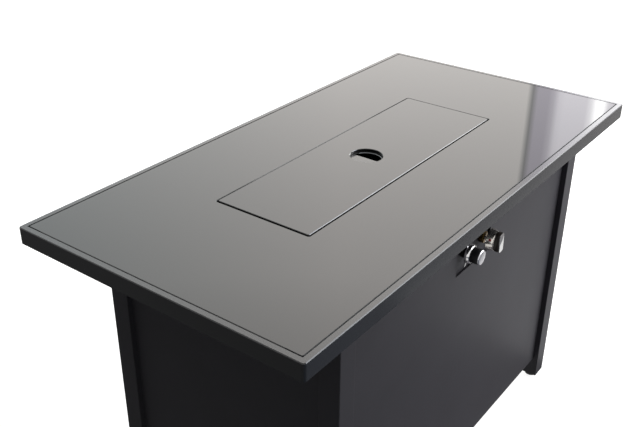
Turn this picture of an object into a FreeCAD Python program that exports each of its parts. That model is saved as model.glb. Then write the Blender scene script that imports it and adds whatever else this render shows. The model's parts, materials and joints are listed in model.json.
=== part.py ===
"""Rectangular gas fire pit table, modelled at real size in millimetres.

The origin is on the floor under the middle of the table. X runs along the long side,
to the right as seen from the front. The front, with the controls, faces -Y. Z is up.
"""
import FreeCAD, Part
import math
import os
import re
import Sketcher
from FreeCAD import Placement, Rotation, Vector

# Driving dimensions, one spreadsheet cell each, in millimetres
SIZES = {
    "table_length": 1092.0,
    "table_depth": 559.0,
    "table_height": 640.0,
    "rim_height": 29.0,
    "rim_width": 10.0,
    "rim_corner": 5.0,
    "rim_edge": 1.2,
    "ledge_width": 22.0,
    "ledge_thickness": 3.0,
    "glass_thickness": 6.0,
    "glass_gap": 1.5,
    "glass_corner": 3.0,
    "glass_bevel": 1.0,
    "glass_pad": 3.0,
    "glass_pad_half": 8.0,
    "lid_length": 590.0,
    "lid_depth": 188.0,
    "lid_gap": 2.2,
    "lid_pad_half": 6.0,
    "hole_radius": 30.0,
    "hole_lip": 1.5,
    "finger_chord": 3.0,
    "finger_plate_length": 96.0,
    "finger_plate_depth": 84.0,
    "sheet_metal": 1.5,
    "frame_opening_length": 560.0,
    "frame_opening_depth": 158.0,
    "frame_rail": 40.0,
    "frame_height": 20.0,
    "lug_size": 28.0,
    "pan_flange": 19.0,
    "pan_length": 548.0,
    "pan_depth": 148.0,
    "pan_drop": 60.0,
    "pan_taper": 12.0,
    "burner_half_run": 190.0,
    "burner_bend": 36.0,
    "burner_radius": 9.5,
    "burner_wall": 1.2,
    "burner_lift": 28.0,
    "slot_width": 1.4,
    "slot_length": 12.0,
    "slot_depth": 3.0,
    "slot_pitch": 34.0,
    "mixer_radius": 12.0,
    "mixer_flange": 22.0,
    "mixer_length": 44.0,
    "mixer_spigot": 15.0,
    "jet_radius": 6.0,
    "jet_tip": 3.0,
    "elbow_half": 8.0,
    "air_slot": 7.0,
    "air_slot_low": 8.0,
    "air_slot_high": 22.0,
    "base_length": 830.0,
    "base_depth": 483.0,
    "post_size": 38.0,
    "post_wall": 1.5,
    "post_edge": 1.5,
    "foot_height": 11.0,
    "foot_radius": 14.0,
    "foot_edge": 2.0,
    "foot_gap": 0.3,
    "stud_radius": 4.0,
    "stud_length": 42.0,
    "insert_height": 14.0,
    "panel_recess": 11.0,
    "panel_sheet": 1.2,
    "panel_bottom": 56.0,
    "panel_return": 18.0,
    "vent_low": 520.0,
    "vent_high": 550.0,
    "vent_pitch": 84.0,
    "rail_size": 25.0,
    "rail_wall": 2.0,
    "tray_level": 83.0,
    "door_gap": 3.0,
    "door_bottom": 58.0,
    "door_return": 12.0,
    "door_hole": 15.0,
    "door_hole_height": 330.0,
    "hinge_height": 60.0,
    "hinge_low": 150.0,
    "hinge_high": 490.0,
    "hinge_barrel": 3.0,
    "hinge_pin": 1.5,
    "tank_radius": 104.0,
    "stop_wall": 3.0,
    "stop_height": 15.0,
    "stop_width": 30.0,
    "stop_foot": 18.0,
    "tank_place": 175.0,
    "window_length": 120.0,
    "window_height": 49.0,
    "window_bottom": 498.0,
    "plate_setback": 3.8,
    "plate_length": 150.0,
    "plate_bottom": 486.0,
    "plate_top": 580.0,
    "control_spacing": 66.0,
    "control_height": 536.5,
    "knob_radius": 20.0,
    "knob_back": 19.0,
    "knob_skirt": 8.0,
    "knob_front": 42.0,
    "knob_grip_width": 15.0,
    "knob_rounding": 1.2,
    "stem_radius": 3.5,
    "running_fit": 0.1,
    "valve_half": 17.0,
    "valve_back": 48.0,
    "valve_neck": 9.0,
    "neck_front": 8.0,
    "outlet_radius": 7.0,
    "outlet_back": 64.0,
    "chamber_front": 16.0,
    "chamber_back": 42.0,
    "boss_radius": 9.5,
    "boss_back": 33.0,
    "boss_length": 15.0,
    "sensor_port_radius": 5.0,
    "sensor_port_back": 38.0,
    "sensor_port_length": 7.0,
    "stem_back": 22.0,
    "collar_thickness": 2.7,
    "nut_across": 19.0,
    "nut_height": 9.0,
    "barrel_radius": 10.0,
    "ring_back": 12.5,
    "ring_height": 4.0,
    "ring_radius": 17.0,
    "ring_wing": 5.0,
    "cap_radius": 13.8,
    "cap_front": 34.0,
    "cap_face": 3.5,
    "plunger_radius": 8.0,
    "battery_radius": 5.2,
    "inlet_radius": 7.94,
    "inlet_length": 12.0,
    "inlet_shoulder": 10.0,
    "inlet_bore": 3.0,
    "pipe_radius": 4.0,
    "sensor_radius": 1.5,
    "sensor_sleeve": 2.4,
    "shield_length": 256.0,
    "shield_drop": 34.0,
    "shield_overlap": 14.0,
    "bolt_radius": 3.0,
}

# Places that follow from the driving dimensions
DERIVED = {
    "half_length": "(table_length / 2)",
    "half_depth": "(table_depth / 2)",
    "rim_bottom": "(table_height - rim_height)",
    "glass_bottom": "(table_height - glass_thickness)",
    "ledge_top": "(glass_bottom - glass_pad)",
    "ledge_bottom": "(ledge_top - ledge_thickness)",
    "bay_half_length": "(half_length - rim_width)",
    "bay_half_depth": "(half_depth - rim_width)",
    "post_x": "(base_length / 2)",
    "post_y": "(base_depth / 2)",
    "inner_x": "(post_x - post_size)",
    "inner_y": "(post_y - post_size)",
    "panel_x": "(post_x - panel_recess)",
    "panel_y": "(post_y - panel_recess)",
    "sheet_x": "(panel_x - panel_sheet)",
    "sheet_y": "(panel_y - panel_sheet)",
    "rail_low": "(rim_bottom - rail_size)",
    "tray_rail_low": "(tray_level - rail_size)",
    "frame_x": "(frame_opening_length / 2)",
    "frame_y": "(frame_opening_depth / 2)",
    "pan_x": "(pan_length / 2)",
    "pan_y": "(pan_depth / 2)",
    "pan_rim": "(ledge_top + sheet_metal)",
    "pan_floor": "(ledge_top - pan_drop + sheet_metal)",
    "burner_level": "(pan_floor + burner_lift)",
    "mixer_bottom": "(pan_floor - sheet_metal - mixer_length)",
    "plate_face": "(sheet_y - plate_setback)",
    "control_x": "(control_spacing / 2)",
    "door_top": "(rail_low - door_gap)",
    "hinge_x": "(panel_x + hinge_barrel + 0.5)",
    "hinge_y": "(inner_y - hinge_barrel - 0.4)",
    "bolt_x": "(frame_x + frame_rail / 2)",
    "bolt_y": "(sheet_y - rail_size / 2)",
}

doc = FreeCAD.newDocument("FirePitTable")
sheet = doc.addObject("Spreadsheet::Sheet", "Sizes")
for row, (alias, value) in enumerate(SIZES.items(), start=1):
    sheet.set("A%d" % row, alias)
    sheet.set("B%d" % row, str(value))
    sheet.setAlias("B%d" % row, alias)
doc.recompute()

parts = []


def expand(text):
    """Turn an expression in plain names into one that reads the spreadsheet."""
    def swap(match):
        word = match.group()
        if word in DERIVED:
            return expand(DERIVED[word])
        return "Sizes." + word if word in SIZES else word
    return re.sub(r"[a-z_][a-z_0-9]*", swap, str(text))


def number(text):
    """Value of an expression, in millimetres."""
    value = sheet.evalExpression(expand(text))
    return float(getattr(value, "Value", value))


def bind(feature, prop, text):
    """Tie one property of a feature to the spreadsheet."""
    feature.setExpression(prop, expand(text))


def new_body(name):
    """Start one piece, which is written out under this name."""
    body = doc.addObject("PartDesign::Body", name)
    body.Label = name
    parts.append(body)
    return body


def place(body, x, y, z, turn=None):
    """Put a piece modelled in its own axes where it belongs in the table."""
    body.Placement = Placement(Vector(0, 0, 0), turn or Rotation())
    for axis, text in zip("xyz", (x, y, z)):
        bind(body, "Placement.Base." + axis, text)


def sketch_on(body, plane, name, level="0"):
    """Sketch on one of the body's own planes, moved along its normal."""
    origin_plane = next(f for f in body.Origin.OriginFeatures if f.Role == plane)
    sketch = body.newObject("Sketcher::SketchObject", name)
    sketch.AttachmentSupport = [(origin_plane, "")]
    sketch.MapMode = "FlatFace"
    bind(sketch, "AttachmentOffset.Base.z", level)
    return sketch


def hold_point(sketch, geometry, position, x, y):
    """Fix a point of a sketch at a place given by two expressions."""
    for kind, text, axis in (("DistanceX", x, -2), ("DistanceY", y, -1)):
        value = number(text)
        if abs(value) < 1e-9:
            sketch.addConstraint(Sketcher.Constraint("PointOnObject", geometry, position, axis))
        else:
            index = sketch.addConstraint(Sketcher.Constraint(kind, geometry, position, value))
            bind(sketch, "Constraints[%d]" % index, text)


def outline(sketch, points):
    """Closed outline of straight lines through points given as expressions."""
    corners = [Vector(number(x), number(y), 0) for x, y in points]
    first = sketch.GeometryCount
    count = len(corners)
    for index, corner in enumerate(corners):
        sketch.addGeometry(Part.LineSegment(corner, corners[(index + 1) % count]), False)
    for index, (x, y) in enumerate(points):
        after = first + (index + 1) % count
        sketch.addConstraint(Sketcher.Constraint("Coincident", first + index, 2, after, 1))
        hold_point(sketch, first + index, 1, x, y)
    return sketch


def rectangle(sketch, left, right, low, high):
    """Rectangle between two pairs of expressions."""
    return outline(sketch, [(left, low), (right, low), (right, high), (left, high)])


def circle(sketch, x, y, radius):
    """Circle held at a point, with its radius bound to the spreadsheet."""
    centre = Vector(number(x), number(y), 0)
    index = sketch.addGeometry(Part.Circle(centre, Vector(0, 0, 1), number(radius)), False)
    hold_point(sketch, index, 3, x, y)
    held = sketch.addConstraint(Sketcher.Constraint("Radius", index, number(radius)))
    bind(sketch, "Constraints[%d]" % held, radius)
    return sketch


def pad(body, sketch, length, both_ways=False):
    """Extrude a sketch along its normal."""
    feature = body.newObject("PartDesign::Pad", sketch.Label + "_pad")
    feature.Profile = sketch
    if both_ways:
        feature.SideType = "Symmetric"
    bind(feature, "Length", length)
    return feature


def cut(body, sketch, length, forward=False, both_ways=False):
    """Cut a sketch's outline out of a body, against the sketch's normal by default."""
    doc.recompute()
    before = body.Shape.Volume
    feature = body.newObject("PartDesign::Pocket", sketch.Label + "_cut")
    feature.Profile = sketch
    feature.Reversed = forward
    if both_ways:
        feature.SideType = "Symmetric"
    bind(feature, "Length", length)
    doc.recompute()
    if feature.Shape.isNull() or feature.Shape.Volume > before - 1e-6:
        raise RuntimeError("%s removes nothing from %s" % (feature.Label, body.Label))
    return feature


def block(body, name, left, right, front, back, low, high):
    """Add a rectangular block between six expressions."""
    sketch = rectangle(sketch_on(body, "XY_Plane", name, low), left, right, front, back)
    return pad(body, sketch, "(%s) - (%s)" % (high, low))


def block_cut(body, name, left, right, front, back, low, high):
    """Remove a rectangular block between six expressions."""
    sketch = rectangle(sketch_on(body, "XY_Plane", name, high), left, right, front, back)
    return cut(body, sketch, "(%s) - (%s)" % (high, low))


def disc(body, name, x, y, radius, low, high):
    """Add a round block standing along the body's Z."""
    sketch = circle(sketch_on(body, "XY_Plane", name, low), x, y, radius)
    return pad(body, sketch, "(%s) - (%s)" % (high, low))


def disc_cut(body, name, x, y, radius, low, high):
    """Remove a round block standing along the body's Z."""
    sketch = circle(sketch_on(body, "XY_Plane", name, high), x, y, radius)
    return cut(body, sketch, "(%s) - (%s)" % (high, low))


def turned(body, name, points):
    """Revolve a closed outline of (radius, height) points about the body's Z."""
    sketch = outline(sketch_on(body, "XZ_Plane", name), points)
    feature = body.newObject("PartDesign::Revolution", name + "_turned")
    feature.Profile = sketch
    feature.ReferenceAxis = (sketch, ["V_Axis"])
    feature.Angle = 360
    return feature


def mirrored(body, features, plane):
    """Repeat features on the other side of one of the body's planes."""
    origin_plane = next(f for f in body.Origin.OriginFeatures if f.Role == plane)
    mirror = body.newObject("PartDesign::Mirrored", body.Label + "_mirrored")
    mirror.Originals = features
    mirror.MirrorPlane = (origin_plane, [""])
    body.Tip = mirror
    doc.recompute()
    return mirror


def row_of(body, feature, direction, pitch, count):
    """Repeat a feature along one of the body's axes at a steady pitch."""
    axis = next(f for f in body.Origin.OriginFeatures if f.Role == direction)
    pattern = body.newObject("PartDesign::LinearPattern", feature.Label + "_row")
    pattern.Originals = [feature]
    pattern.Direction = (axis, [""])
    pattern.Mode = "Spacing"
    bind(pattern, "Offset", pitch)
    pattern.Occurrences = count
    body.Tip = pattern
    doc.recompute()
    return pattern


def ring_of(body, feature, count):
    """Repeat a feature round the body's Z."""
    axis = next(f for f in body.Origin.OriginFeatures if f.Role == "Z_Axis")
    pattern = body.newObject("PartDesign::PolarPattern", feature.Label + "_ring")
    pattern.Originals = [feature]
    pattern.Axis = (axis, [""])
    pattern.Angle = 360
    pattern.Occurrences = count
    body.Tip = pattern
    doc.recompute()
    return pattern


def edges_of(body, test):
    """Names of the tip's edges that pass a test."""
    doc.recompute()
    edges = body.Tip.Shape.Edges
    return ["Edge%d" % (index + 1) for index, edge in enumerate(edges) if test(edge)]


def soften(body, kind, size, test):
    """Fillet or chamfer the tip's edges that pass a test."""
    base = body.Tip
    names = edges_of(body, test)
    feature = body.newObject("PartDesign::" + kind, "%s_%s" % (body.Label, kind.lower()))
    feature.Base = (base, names)
    bind(feature, "Radius" if kind == "Fillet" else "Size", size)
    doc.recompute()
    return feature


def is_upright(edge):
    """True for a straight edge along Z."""
    start, end = edge.firstVertex().Point, edge.lastVertex().Point
    return len(edge.Vertexes) == 2 and abs(start.x - end.x) + abs(start.y - end.y) < 1e-6


def is_level(edge, height):
    """True for an edge that lies wholly at one height."""
    box = edge.BoundBox
    return abs(box.ZMin - height) < 1e-4 and abs(box.ZMax - height) < 1e-4


def make_top_rim():
    """Welded rim of flat bar with a ledge inside that carries the glass."""
    body = new_body("top_rim")
    block(body, "bar", "-half_length", "half_length", "-half_depth", "half_depth",
          "rim_bottom", "table_height")
    soften(body, "Fillet", "rim_corner", is_upright)
    top = number("table_height")
    soften(body, "Chamfer", "rim_edge", lambda edge: is_level(edge, top))
    block_cut(body, "glass_seat", "-bay_half_length", "bay_half_length",
              "-bay_half_depth", "bay_half_depth", "ledge_top", "table_height")
    block_cut(body, "bay", "ledge_width - bay_half_length", "bay_half_length - ledge_width",
              "ledge_width - bay_half_depth", "bay_half_depth - ledge_width",
              "rim_bottom", "ledge_top")
    block_cut(body, "under_ledge", "-bay_half_length", "bay_half_length",
              "-bay_half_depth", "bay_half_depth", "rim_bottom", "ledge_bottom")


def channel_outline(sketch, middle, wall):
    """Section of a rail that is open below, centred on a place along the sketch."""
    half = "frame_rail / 2"
    low, high = "rim_bottom", "rim_bottom + frame_height"
    left, right = "%s - %s" % (middle, half), "%s + %s" % (middle, half)
    return outline(sketch, [
        (left, low), (left, high), (right, high), (right, low),
        (right + " - " + wall, low), (right + " - " + wall, high + " - " + wall),
        (left + " + " + wall, high + " - " + wall), (left + " + " + wall, low),
    ])


def make_top_support_frame():
    """Welded frame of channel rails under the glass, round the burner opening."""
    body = new_body("top_support_frame")
    cross = sketch_on(body, "XZ_Plane", "cross_rails")
    channel_outline(cross, "frame_x + frame_rail / 2", "sheet_metal")
    channel_outline(cross, "-frame_x - frame_rail / 2", "sheet_metal")
    pad(body, cross, "2 * bay_half_depth", both_ways=True)
    long = sketch_on(body, "YZ_Plane", "long_rails")
    channel_outline(long, "frame_y + frame_rail / 2", "sheet_metal")
    channel_outline(long, "-frame_y - frame_rail / 2", "sheet_metal")
    pad(body, long, "2 * frame_x", both_ways=True)
    for side in ("", "-"):
        edge = "(bay_half_depth - ledge_width)"
        low, high = (edge, "bay_half_depth") if not side else ("-bay_half_depth", "-" + edge)
        block_cut(body, "cope" + ("_front" if side else "_back"), "-frame_x - frame_rail",
                  "frame_x + frame_rail", low, high, "ledge_bottom", "ledge_top")
    for x_side, y_side in signs():
        x, y = x_side + "bolt_x", y_side + "bolt_y"
        block(body, "lug", x + " - lug_size / 2", x + " + lug_size / 2",
              y + " - lug_size / 2", y + " + lug_size / 2",
              "rim_bottom", "ledge_top - sheet_metal")
        disc_cut(body, "bolt_thread", x, y, "bolt_radius", "rim_bottom", "ledge_top - sheet_metal")


def group(name, solids):
    """Several like pieces kept together as one node."""
    compound = doc.addObject("Part::Compound", name)
    compound.Label = name
    compound.Links = solids
    parts.append(compound)
    return compound


def loose_disc(name, x, y, radius, low, high):
    """Round block of its own, for a group."""
    solid = doc.addObject("Part::Cylinder", name)
    bind(solid, "Radius", radius)
    bind(solid, "Height", "(%s) - (%s)" % (high, low))
    for axis, text in zip("xyz", (x, y, low)):
        bind(solid, "Placement.Base." + axis, text)
    return solid


def signs():
    """The four pairs of signs of a rectangle's corners."""
    return [(x, y) for x in ("-", "") for y in ("-", "")]


def loose_block(name, x, y, half, low, high):
    """Square block of its own, centred on a place, for a group."""
    solid = doc.addObject("Part::Box", name)
    bind(solid, "Length", "2 * " + half)
    bind(solid, "Width", "2 * " + half)
    bind(solid, "Height", "(%s) - (%s)" % (high, low))
    for axis, text in zip("xyz", ("%s - %s" % (x, half), "%s - %s" % (y, half), low)):
        bind(solid, "Placement.Base." + axis, text)
    return solid


def make_glass_pads():
    """Silicone pads between the glass, the ledge and the support frame."""
    on_ledge_x = "(bay_half_length - ledge_width / 2)"
    on_ledge_y = "(bay_half_depth - ledge_width / 2)"
    on_rail_x = "(frame_x + frame_rail * 0.7)"
    on_rail_y = "(frame_y + frame_rail * 0.7)"
    places = [(x + on_ledge_x, y + on_ledge_y) for x, y in signs()]
    places += [(x + "(half_length / 3)", y + on_ledge_y) for x, y in signs()]
    places += [(x + on_ledge_x, "0") for x in ("-", "")]
    places += [(x + on_rail_x, "0") for x in ("-", "")]
    places += [(x + "(frame_x * 0.7)", y + on_rail_y) for x, y in signs()]
    group("glass_pads", [
        loose_block("glass_pad", x, y, "glass_pad_half", "ledge_top", "glass_bottom")
        for x, y in places])


def make_glass_top():
    """Tempered glass table top with the opening for the burner lid."""
    body = new_body("glass_top")
    x, y = "(bay_half_length - glass_gap)", "(bay_half_depth - glass_gap)"
    block(body, "pane", "-" + x, x, "-" + y, y, "glass_bottom", "table_height")
    soften(body, "Fillet", "glass_corner", is_upright)
    hole_x, hole_y = "(lid_length / 2 + lid_gap)", "(lid_depth / 2 + lid_gap)"
    block_cut(body, "burner_opening", "-" + hole_x, hole_x, "-" + hole_y, hole_y,
              "glass_bottom", "table_height")
    reach = number("half_length") - number("rim_width") - number("glass_gap") - 10
    soften(body, "Fillet", "glass_corner", lambda edge: is_upright(edge)
           and edge.BoundBox.XMax < reach and edge.BoundBox.XMin > -reach)
    top = number("table_height")
    soften(body, "Chamfer", "glass_bevel", lambda edge: is_level(edge, top))


def make_lid():
    """Glass lid that lies flush in the opening, with its round finger hole."""
    body = new_body("lid")
    block(body, "pane", "-lid_length / 2", "lid_length / 2", "-lid_depth / 2", "lid_depth / 2",
          "glass_bottom", "table_height")
    soften(body, "Fillet", "glass_corner", is_upright)
    disc_cut(body, "finger_hole", "0", "0", "hole_radius", "glass_bottom", "table_height")
    top = number("table_height")
    far = number("hole_radius") + 1
    soften(body, "Chamfer", "glass_bevel", lambda edge: is_level(edge, top)
           and max(abs(edge.BoundBox.XMax), abs(edge.BoundBox.YMax),
                   abs(edge.BoundBox.XMin), abs(edge.BoundBox.YMin)) > far)


def make_lid_finger_plate():
    """Steel plate bonded under the lid, closing half of the hole to make a finger pull."""
    body = new_body("lid_finger_plate")
    block(body, "plate", "-finger_plate_length / 2", "finger_plate_length / 2",
          "-finger_plate_depth / 2", "finger_plate_depth / 2",
          "glass_bottom - sheet_metal", "glass_bottom")
    sketch = sketch_on(body, "XY_Plane", "finger_opening", "glass_bottom")
    radius = "(hole_radius - hole_lip)"
    chord, reach = number("finger_chord"), number(radius)
    half = math.sqrt(reach ** 2 - chord ** 2)
    angle = math.atan2(half, chord)
    arc = sketch.addGeometry(Part.ArcOfCircle(
        Part.Circle(Vector(0, 0, 0), Vector(0, 0, 1), reach), -angle, angle), False)
    line = sketch.addGeometry(Part.LineSegment(Vector(chord, half, 0), Vector(chord, -half, 0)), False)
    sketch.addConstraint(Sketcher.Constraint("Coincident", arc, 2, line, 1))
    sketch.addConstraint(Sketcher.Constraint("Coincident", line, 2, arc, 1))
    sketch.addConstraint(Sketcher.Constraint("Coincident", arc, 3, -1, 1))
    sketch.addConstraint(Sketcher.Constraint("Vertical", line))
    held = sketch.addConstraint(Sketcher.Constraint("Radius", arc, reach))
    bind(sketch, "Constraints[%d]" % held, radius)
    held = sketch.addConstraint(Sketcher.Constraint("DistanceX", line, 1, chord))
    bind(sketch, "Constraints[%d]" % held, "finger_chord")
    cut(body, sketch, "sheet_metal")


def make_lid_pads():
    """Silicone pads under the lid that rest on the burner pan's flange."""
    on_end = "(pan_x + pan_flange / 2)"
    on_side = "(pan_y + pan_flange / 2)"
    places = [(x + on_end, y + "(pan_y * 0.7)") for x, y in signs()]
    places += [(x + "(pan_x * 0.5)", y + on_side) for x, y in signs()]
    group("lid_pads", [
        loose_block("lid_pad", x, y, "lid_pad_half", "pan_rim", "glass_bottom")
        for x, y in places])


def make_burner_pan():
    """Drop-in pan, folded and welded of stainless sheet, with a flange that hangs in the frame."""
    body = new_body("burner_pan")
    flange_x, flange_y = "(pan_x + pan_flange)", "(pan_y + pan_flange)"
    block(body, "flange", "-" + flange_x, flange_x, "-" + flange_y, flange_y,
          "ledge_top", "pan_rim")
    floor_x, floor_y = "(pan_x - pan_taper)", "(pan_y - pan_taper)"
    wall = "sheet_metal"
    under = "(pan_floor - sheet_metal)"
    upper = rectangle(sketch_on(body, "XY_Plane", "bowl_top", "ledge_top"),
                      "-pan_x", "pan_x", "-pan_y", "pan_y")
    lower = rectangle(sketch_on(body, "XY_Plane", "bowl_floor", under),
                      "-" + floor_x, floor_x, "-" + floor_y, floor_y)
    bowl = body.newObject("PartDesign::AdditiveLoft", "bowl")
    bowl.Profile = upper
    bowl.Sections = [lower]
    doc.recompute()
    before = body.Shape.Volume
    inner_top = rectangle(sketch_on(body, "XY_Plane", "hollow_top", "pan_rim"),
                          wall + " - pan_x", "pan_x - " + wall, wall + " - pan_y", "pan_y - " + wall)
    inner_floor = rectangle(sketch_on(body, "XY_Plane", "hollow_floor", "pan_floor"),
                            "-(%s - %s)" % (floor_x, wall), "%s - %s" % (floor_x, wall),
                            "-(%s - %s)" % (floor_y, wall), "%s - %s" % (floor_y, wall))
    hollow = body.newObject("PartDesign::SubtractiveLoft", "hollow")
    hollow.Profile = inner_top
    hollow.Sections = [inner_floor]
    doc.recompute()
    if hollow.Shape.Volume > before:
        raise RuntimeError("the pan stayed solid")
    disc_cut(body, "mixer_hole", "0", "0", "mixer_radius + running_fit", under, "pan_floor")
    for name, x, y, radius in (("sensor_hole", "-burner_bend - 6", "-12", "sensor_sleeve + running_fit"),
                               ("electrode_hole", "-burner_bend - 6", "12", "5.2"),
                               ("drain_left", "-pan_x * 0.85", "0", "3"),
                               ("drain_right", "pan_x * 0.85", "0", "3")):
        disc_cut(body, name, x, y, radius, under, "pan_floor")


def make_burner_tube():
    """Loop burner of stainless tube mitred at its corners, with a cross tube and sawn gas slots."""
    body = new_body("burner_tube")
    run, side_y = "(burner_half_run + burner_bend)", "burner_bend"
    path = sketch_on(body, "XY_Plane", "loop_path", "burner_level")
    outline(path, [("0", "-" + side_y), (run, "-" + side_y), (run, side_y), ("-" + run, side_y),
                   ("-" + run, "-" + side_y)])
    bore = "burner_radius - burner_wall"
    section = circle(sketch_on(body, "YZ_Plane", "loop_section"), "-" + side_y, "burner_level",
                     "burner_radius")
    loop = body.newObject("PartDesign::AdditivePipe", "loop")
    loop.Profile = section
    loop.Spine = (path, [])
    loop.Transition = "Right corner"
    cross = circle(sketch_on(body, "XZ_Plane", "cross_tube"), "0", "burner_level", "burner_radius")
    pad(body, cross, "2 * burner_bend", both_ways=True)
    disc(body, "inlet", "0", "0", "mixer_radius + 2.5", "pan_floor + 6", "burner_level")
    inside = circle(sketch_on(body, "YZ_Plane", "loop_bore"), "-" + side_y, "burner_level", bore)
    hollow = body.newObject("PartDesign::SubtractivePipe", "hollow")
    hollow.Profile = inside
    hollow.Spine = (path, [])
    hollow.Transition = "Right corner"
    cross_bore = circle(sketch_on(body, "XZ_Plane", "cross_bore"), "0", "burner_level", bore)
    cut(body, cross_bore, "2 * burner_bend", both_ways=True)
    disc_cut(body, "inlet_bore", "0", "0", "mixer_radius + running_fit", "pan_floor + 6",
             "pan_floor + 16")
    disc_cut(body, "inlet_throat", "0", "0", bore, "pan_floor + 16", "burner_level")
    top = "burner_level + burner_radius"
    slots = sketch_on(body, "XY_Plane", "slots", top)
    middle, reach = "-5.5 * slot_pitch", "slot_length / 2"
    for side in ("", "-"):
        y = side + side_y
        rectangle(slots, "%s - %s" % (middle, reach), "%s + %s" % (middle, reach),
                  y + " - slot_width / 2", y + " + slot_width / 2")
    row_of(body, cut(body, slots, "slot_depth"), "X_Axis", "slot_pitch", 12)
    ends = sketch_on(body, "XY_Plane", "end_slots", top)
    for side in ("", "-"):
        x = side + run
        rectangle(ends, x + " - slot_width / 2", x + " + slot_width / 2", "-" + reach, reach)
    cut(body, ends, "slot_depth")


def make_burner_saddles():
    """Saddles welded to the pan floor that cradle the burner loop."""
    body = new_body("burner_saddles")
    width = "(burner_radius * 2 + 5)"
    uprights = sketch_on(body, "YZ_Plane", "saddles", "burner_half_run * 0.85")
    for side in ("", "-"):
        middle = side + "burner_bend"
        rectangle(uprights, "%s - %s / 2" % (middle, width), "%s + %s / 2" % (middle, width),
                  "pan_floor", "burner_level")
    feature = pad(body, uprights, "4")
    seat = sketch_on(body, "YZ_Plane", "seats", "burner_half_run * 0.85 + 4")
    for side in ("", "-"):
        circle(seat, side + "burner_bend", "burner_level", "burner_radius")
    seats = cut(body, seat, "4")
    mirrored(body, [feature, seats], "YZ_Plane")


def make_air_mixer():
    """Venturi tube under the pan, with air slots, that feeds the burner from below."""
    body = new_body("air_mixer")
    place(body, "0", "0", "mixer_bottom")
    wall, radius = "sheet_metal", "mixer_radius"
    flange, top, mouth = "mixer_length", "mixer_length + mixer_spigot", "jet_radius + running_fit"
    turned(body, "tube", [
        (mouth, "0"), (radius, "0"), (radius, flange + " - 2"), ("mixer_flange", flange + " - 2"),
        ("mixer_flange", flange), (radius, flange), (radius, top),
        (radius + " - " + wall, top), (radius + " - " + wall, "2"), (mouth, "2"),
    ])
    slot = rectangle(sketch_on(body, "XZ_Plane", "air_slot"), "-air_slot / 2", "air_slot / 2",
                     "air_slot_low", "air_slot_high")
    ring_of(body, cut(body, slot, "mixer_radius + 1"), 4)


def make_gas_orifice():
    """Brass elbow with the jet that points up into the mixer."""
    body = new_body("gas_orifice")
    place(body, "0", "0", "mixer_bottom - 22")
    turned(body, "jet", [("0", "10"), ("jet_radius", "10"), ("jet_radius", "26"), ("jet_tip", "32"),
                         ("0", "32")])
    block(body, "elbow", "-elbow_half", "elbow_half", "-elbow_half", "elbow_half", "-6", "10")
    boss = circle(sketch_on(body, "XZ_Plane", "inlet_boss", "elbow_half"), "0", "2", "jet_radius + 0.5")
    pad(body, boss, "elbow_half")


def facing_front():
    """Turn that points a piece's own Z out of the front of the table, with its Y up."""
    return Rotation(Vector(1, 0, 0), 90)


def place_control(body, x):
    """Put a control piece on the control plate, facing the front."""
    place(body, x, "-plate_face", "control_height", facing_front())


def make_gas_valve():
    """Cast valve body behind the control plate, with its neck, outlet and ports."""
    body = new_body("gas_valve")
    place_control(body, "control_x")
    block(body, "casting", "-valve_half", "valve_half", "-valve_half", "valve_half",
          "-valve_back", "-sheet_metal")
    disc(body, "neck", "0", "0", "valve_neck", "-sheet_metal", "neck_front")
    disc(body, "outlet", "0", "0", "outlet_radius", "-outlet_back", "-valve_back")
    disc_cut(body, "stem_bore", "0", "0", "stem_radius + running_fit", "-chamber_front", "neck_front")
    disc_cut(body, "chamber", "0", "0", "plunger_radius + running_fit", "-chamber_back",
             "-chamber_front")
    inlet = circle(sketch_on(body, "XZ_Plane", "inlet_boss", "valve_half"), "0", "-boss_back",
                   "boss_radius")
    pad(body, inlet, "boss_length")
    port = circle(sketch_on(body, "XZ_Plane", "sensor_port", "-valve_half - sensor_port_length"), "0",
                  "-sensor_port_back", "sensor_port_radius")
    pad(body, port, "sensor_port_length")


def make_gas_inlet():
    """Flared brass fitting under the valve, where the supply hose would screw on."""
    body = new_body("gas_inlet")
    place(body, "control_x", "boss_back - plate_face", "control_height - valve_half - boss_length")
    thread_end = "-(inlet_shoulder + inlet_length)"
    flare_end, shoulder = thread_end + " - 4", "inlet_radius + 0.46"
    turned(body, "fitting", [("0", "0"), (shoulder, "0"), (shoulder, "-inlet_shoulder"),
                             ("inlet_radius", "-inlet_shoulder"),
                             ("inlet_radius", thread_end), ("inlet_bore + 1.5", flare_end),
                             ("inlet_bore", flare_end), ("inlet_bore", "2 - inlet_shoulder"),
                             ("0", "2 - inlet_shoulder")])


def make_valve_plunger():
    """Thrust disc inside the valve that the knob pushes in before it turns."""
    body = new_body("valve_plunger")
    place_control(body, "control_x")
    front = "(-stem_back - 0.3)"
    disc(body, "disc", "0", "0", "plunger_radius", front + " - collar_thickness", front)


def make_valve_stem():
    """D-shaped stem that carries the knob through the valve neck."""
    body = new_body("valve_stem")
    place_control(body, "control_x")
    disc(body, "shaft", "0", "0", "stem_radius", "-stem_back", "knob_front - 8")
    block_cut(body, "flat", "-4", "4", "stem_radius - 1.2", "stem_radius + 1",
              "knob_back - 8", "knob_front - 8")


def make_valve_nut():
    """Hexagon nut on the valve neck, clamping the control plate."""
    body = new_body("valve_nut")
    place_control(body, "control_x")
    sketch = sketch_on(body, "XY_Plane", "hexagon")
    corners = [("%.6f * nut_across" % (math.cos(math.radians(a)) / math.sqrt(3)),
                "%.6f * nut_across" % (math.sin(math.radians(a)) / math.sqrt(3)))
               for a in range(0, 360, 60)]
    outline(sketch, corners)
    circle(sketch, "0", "0", "valve_neck + 0.02")
    pad(body, sketch, "nut_height")


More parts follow.
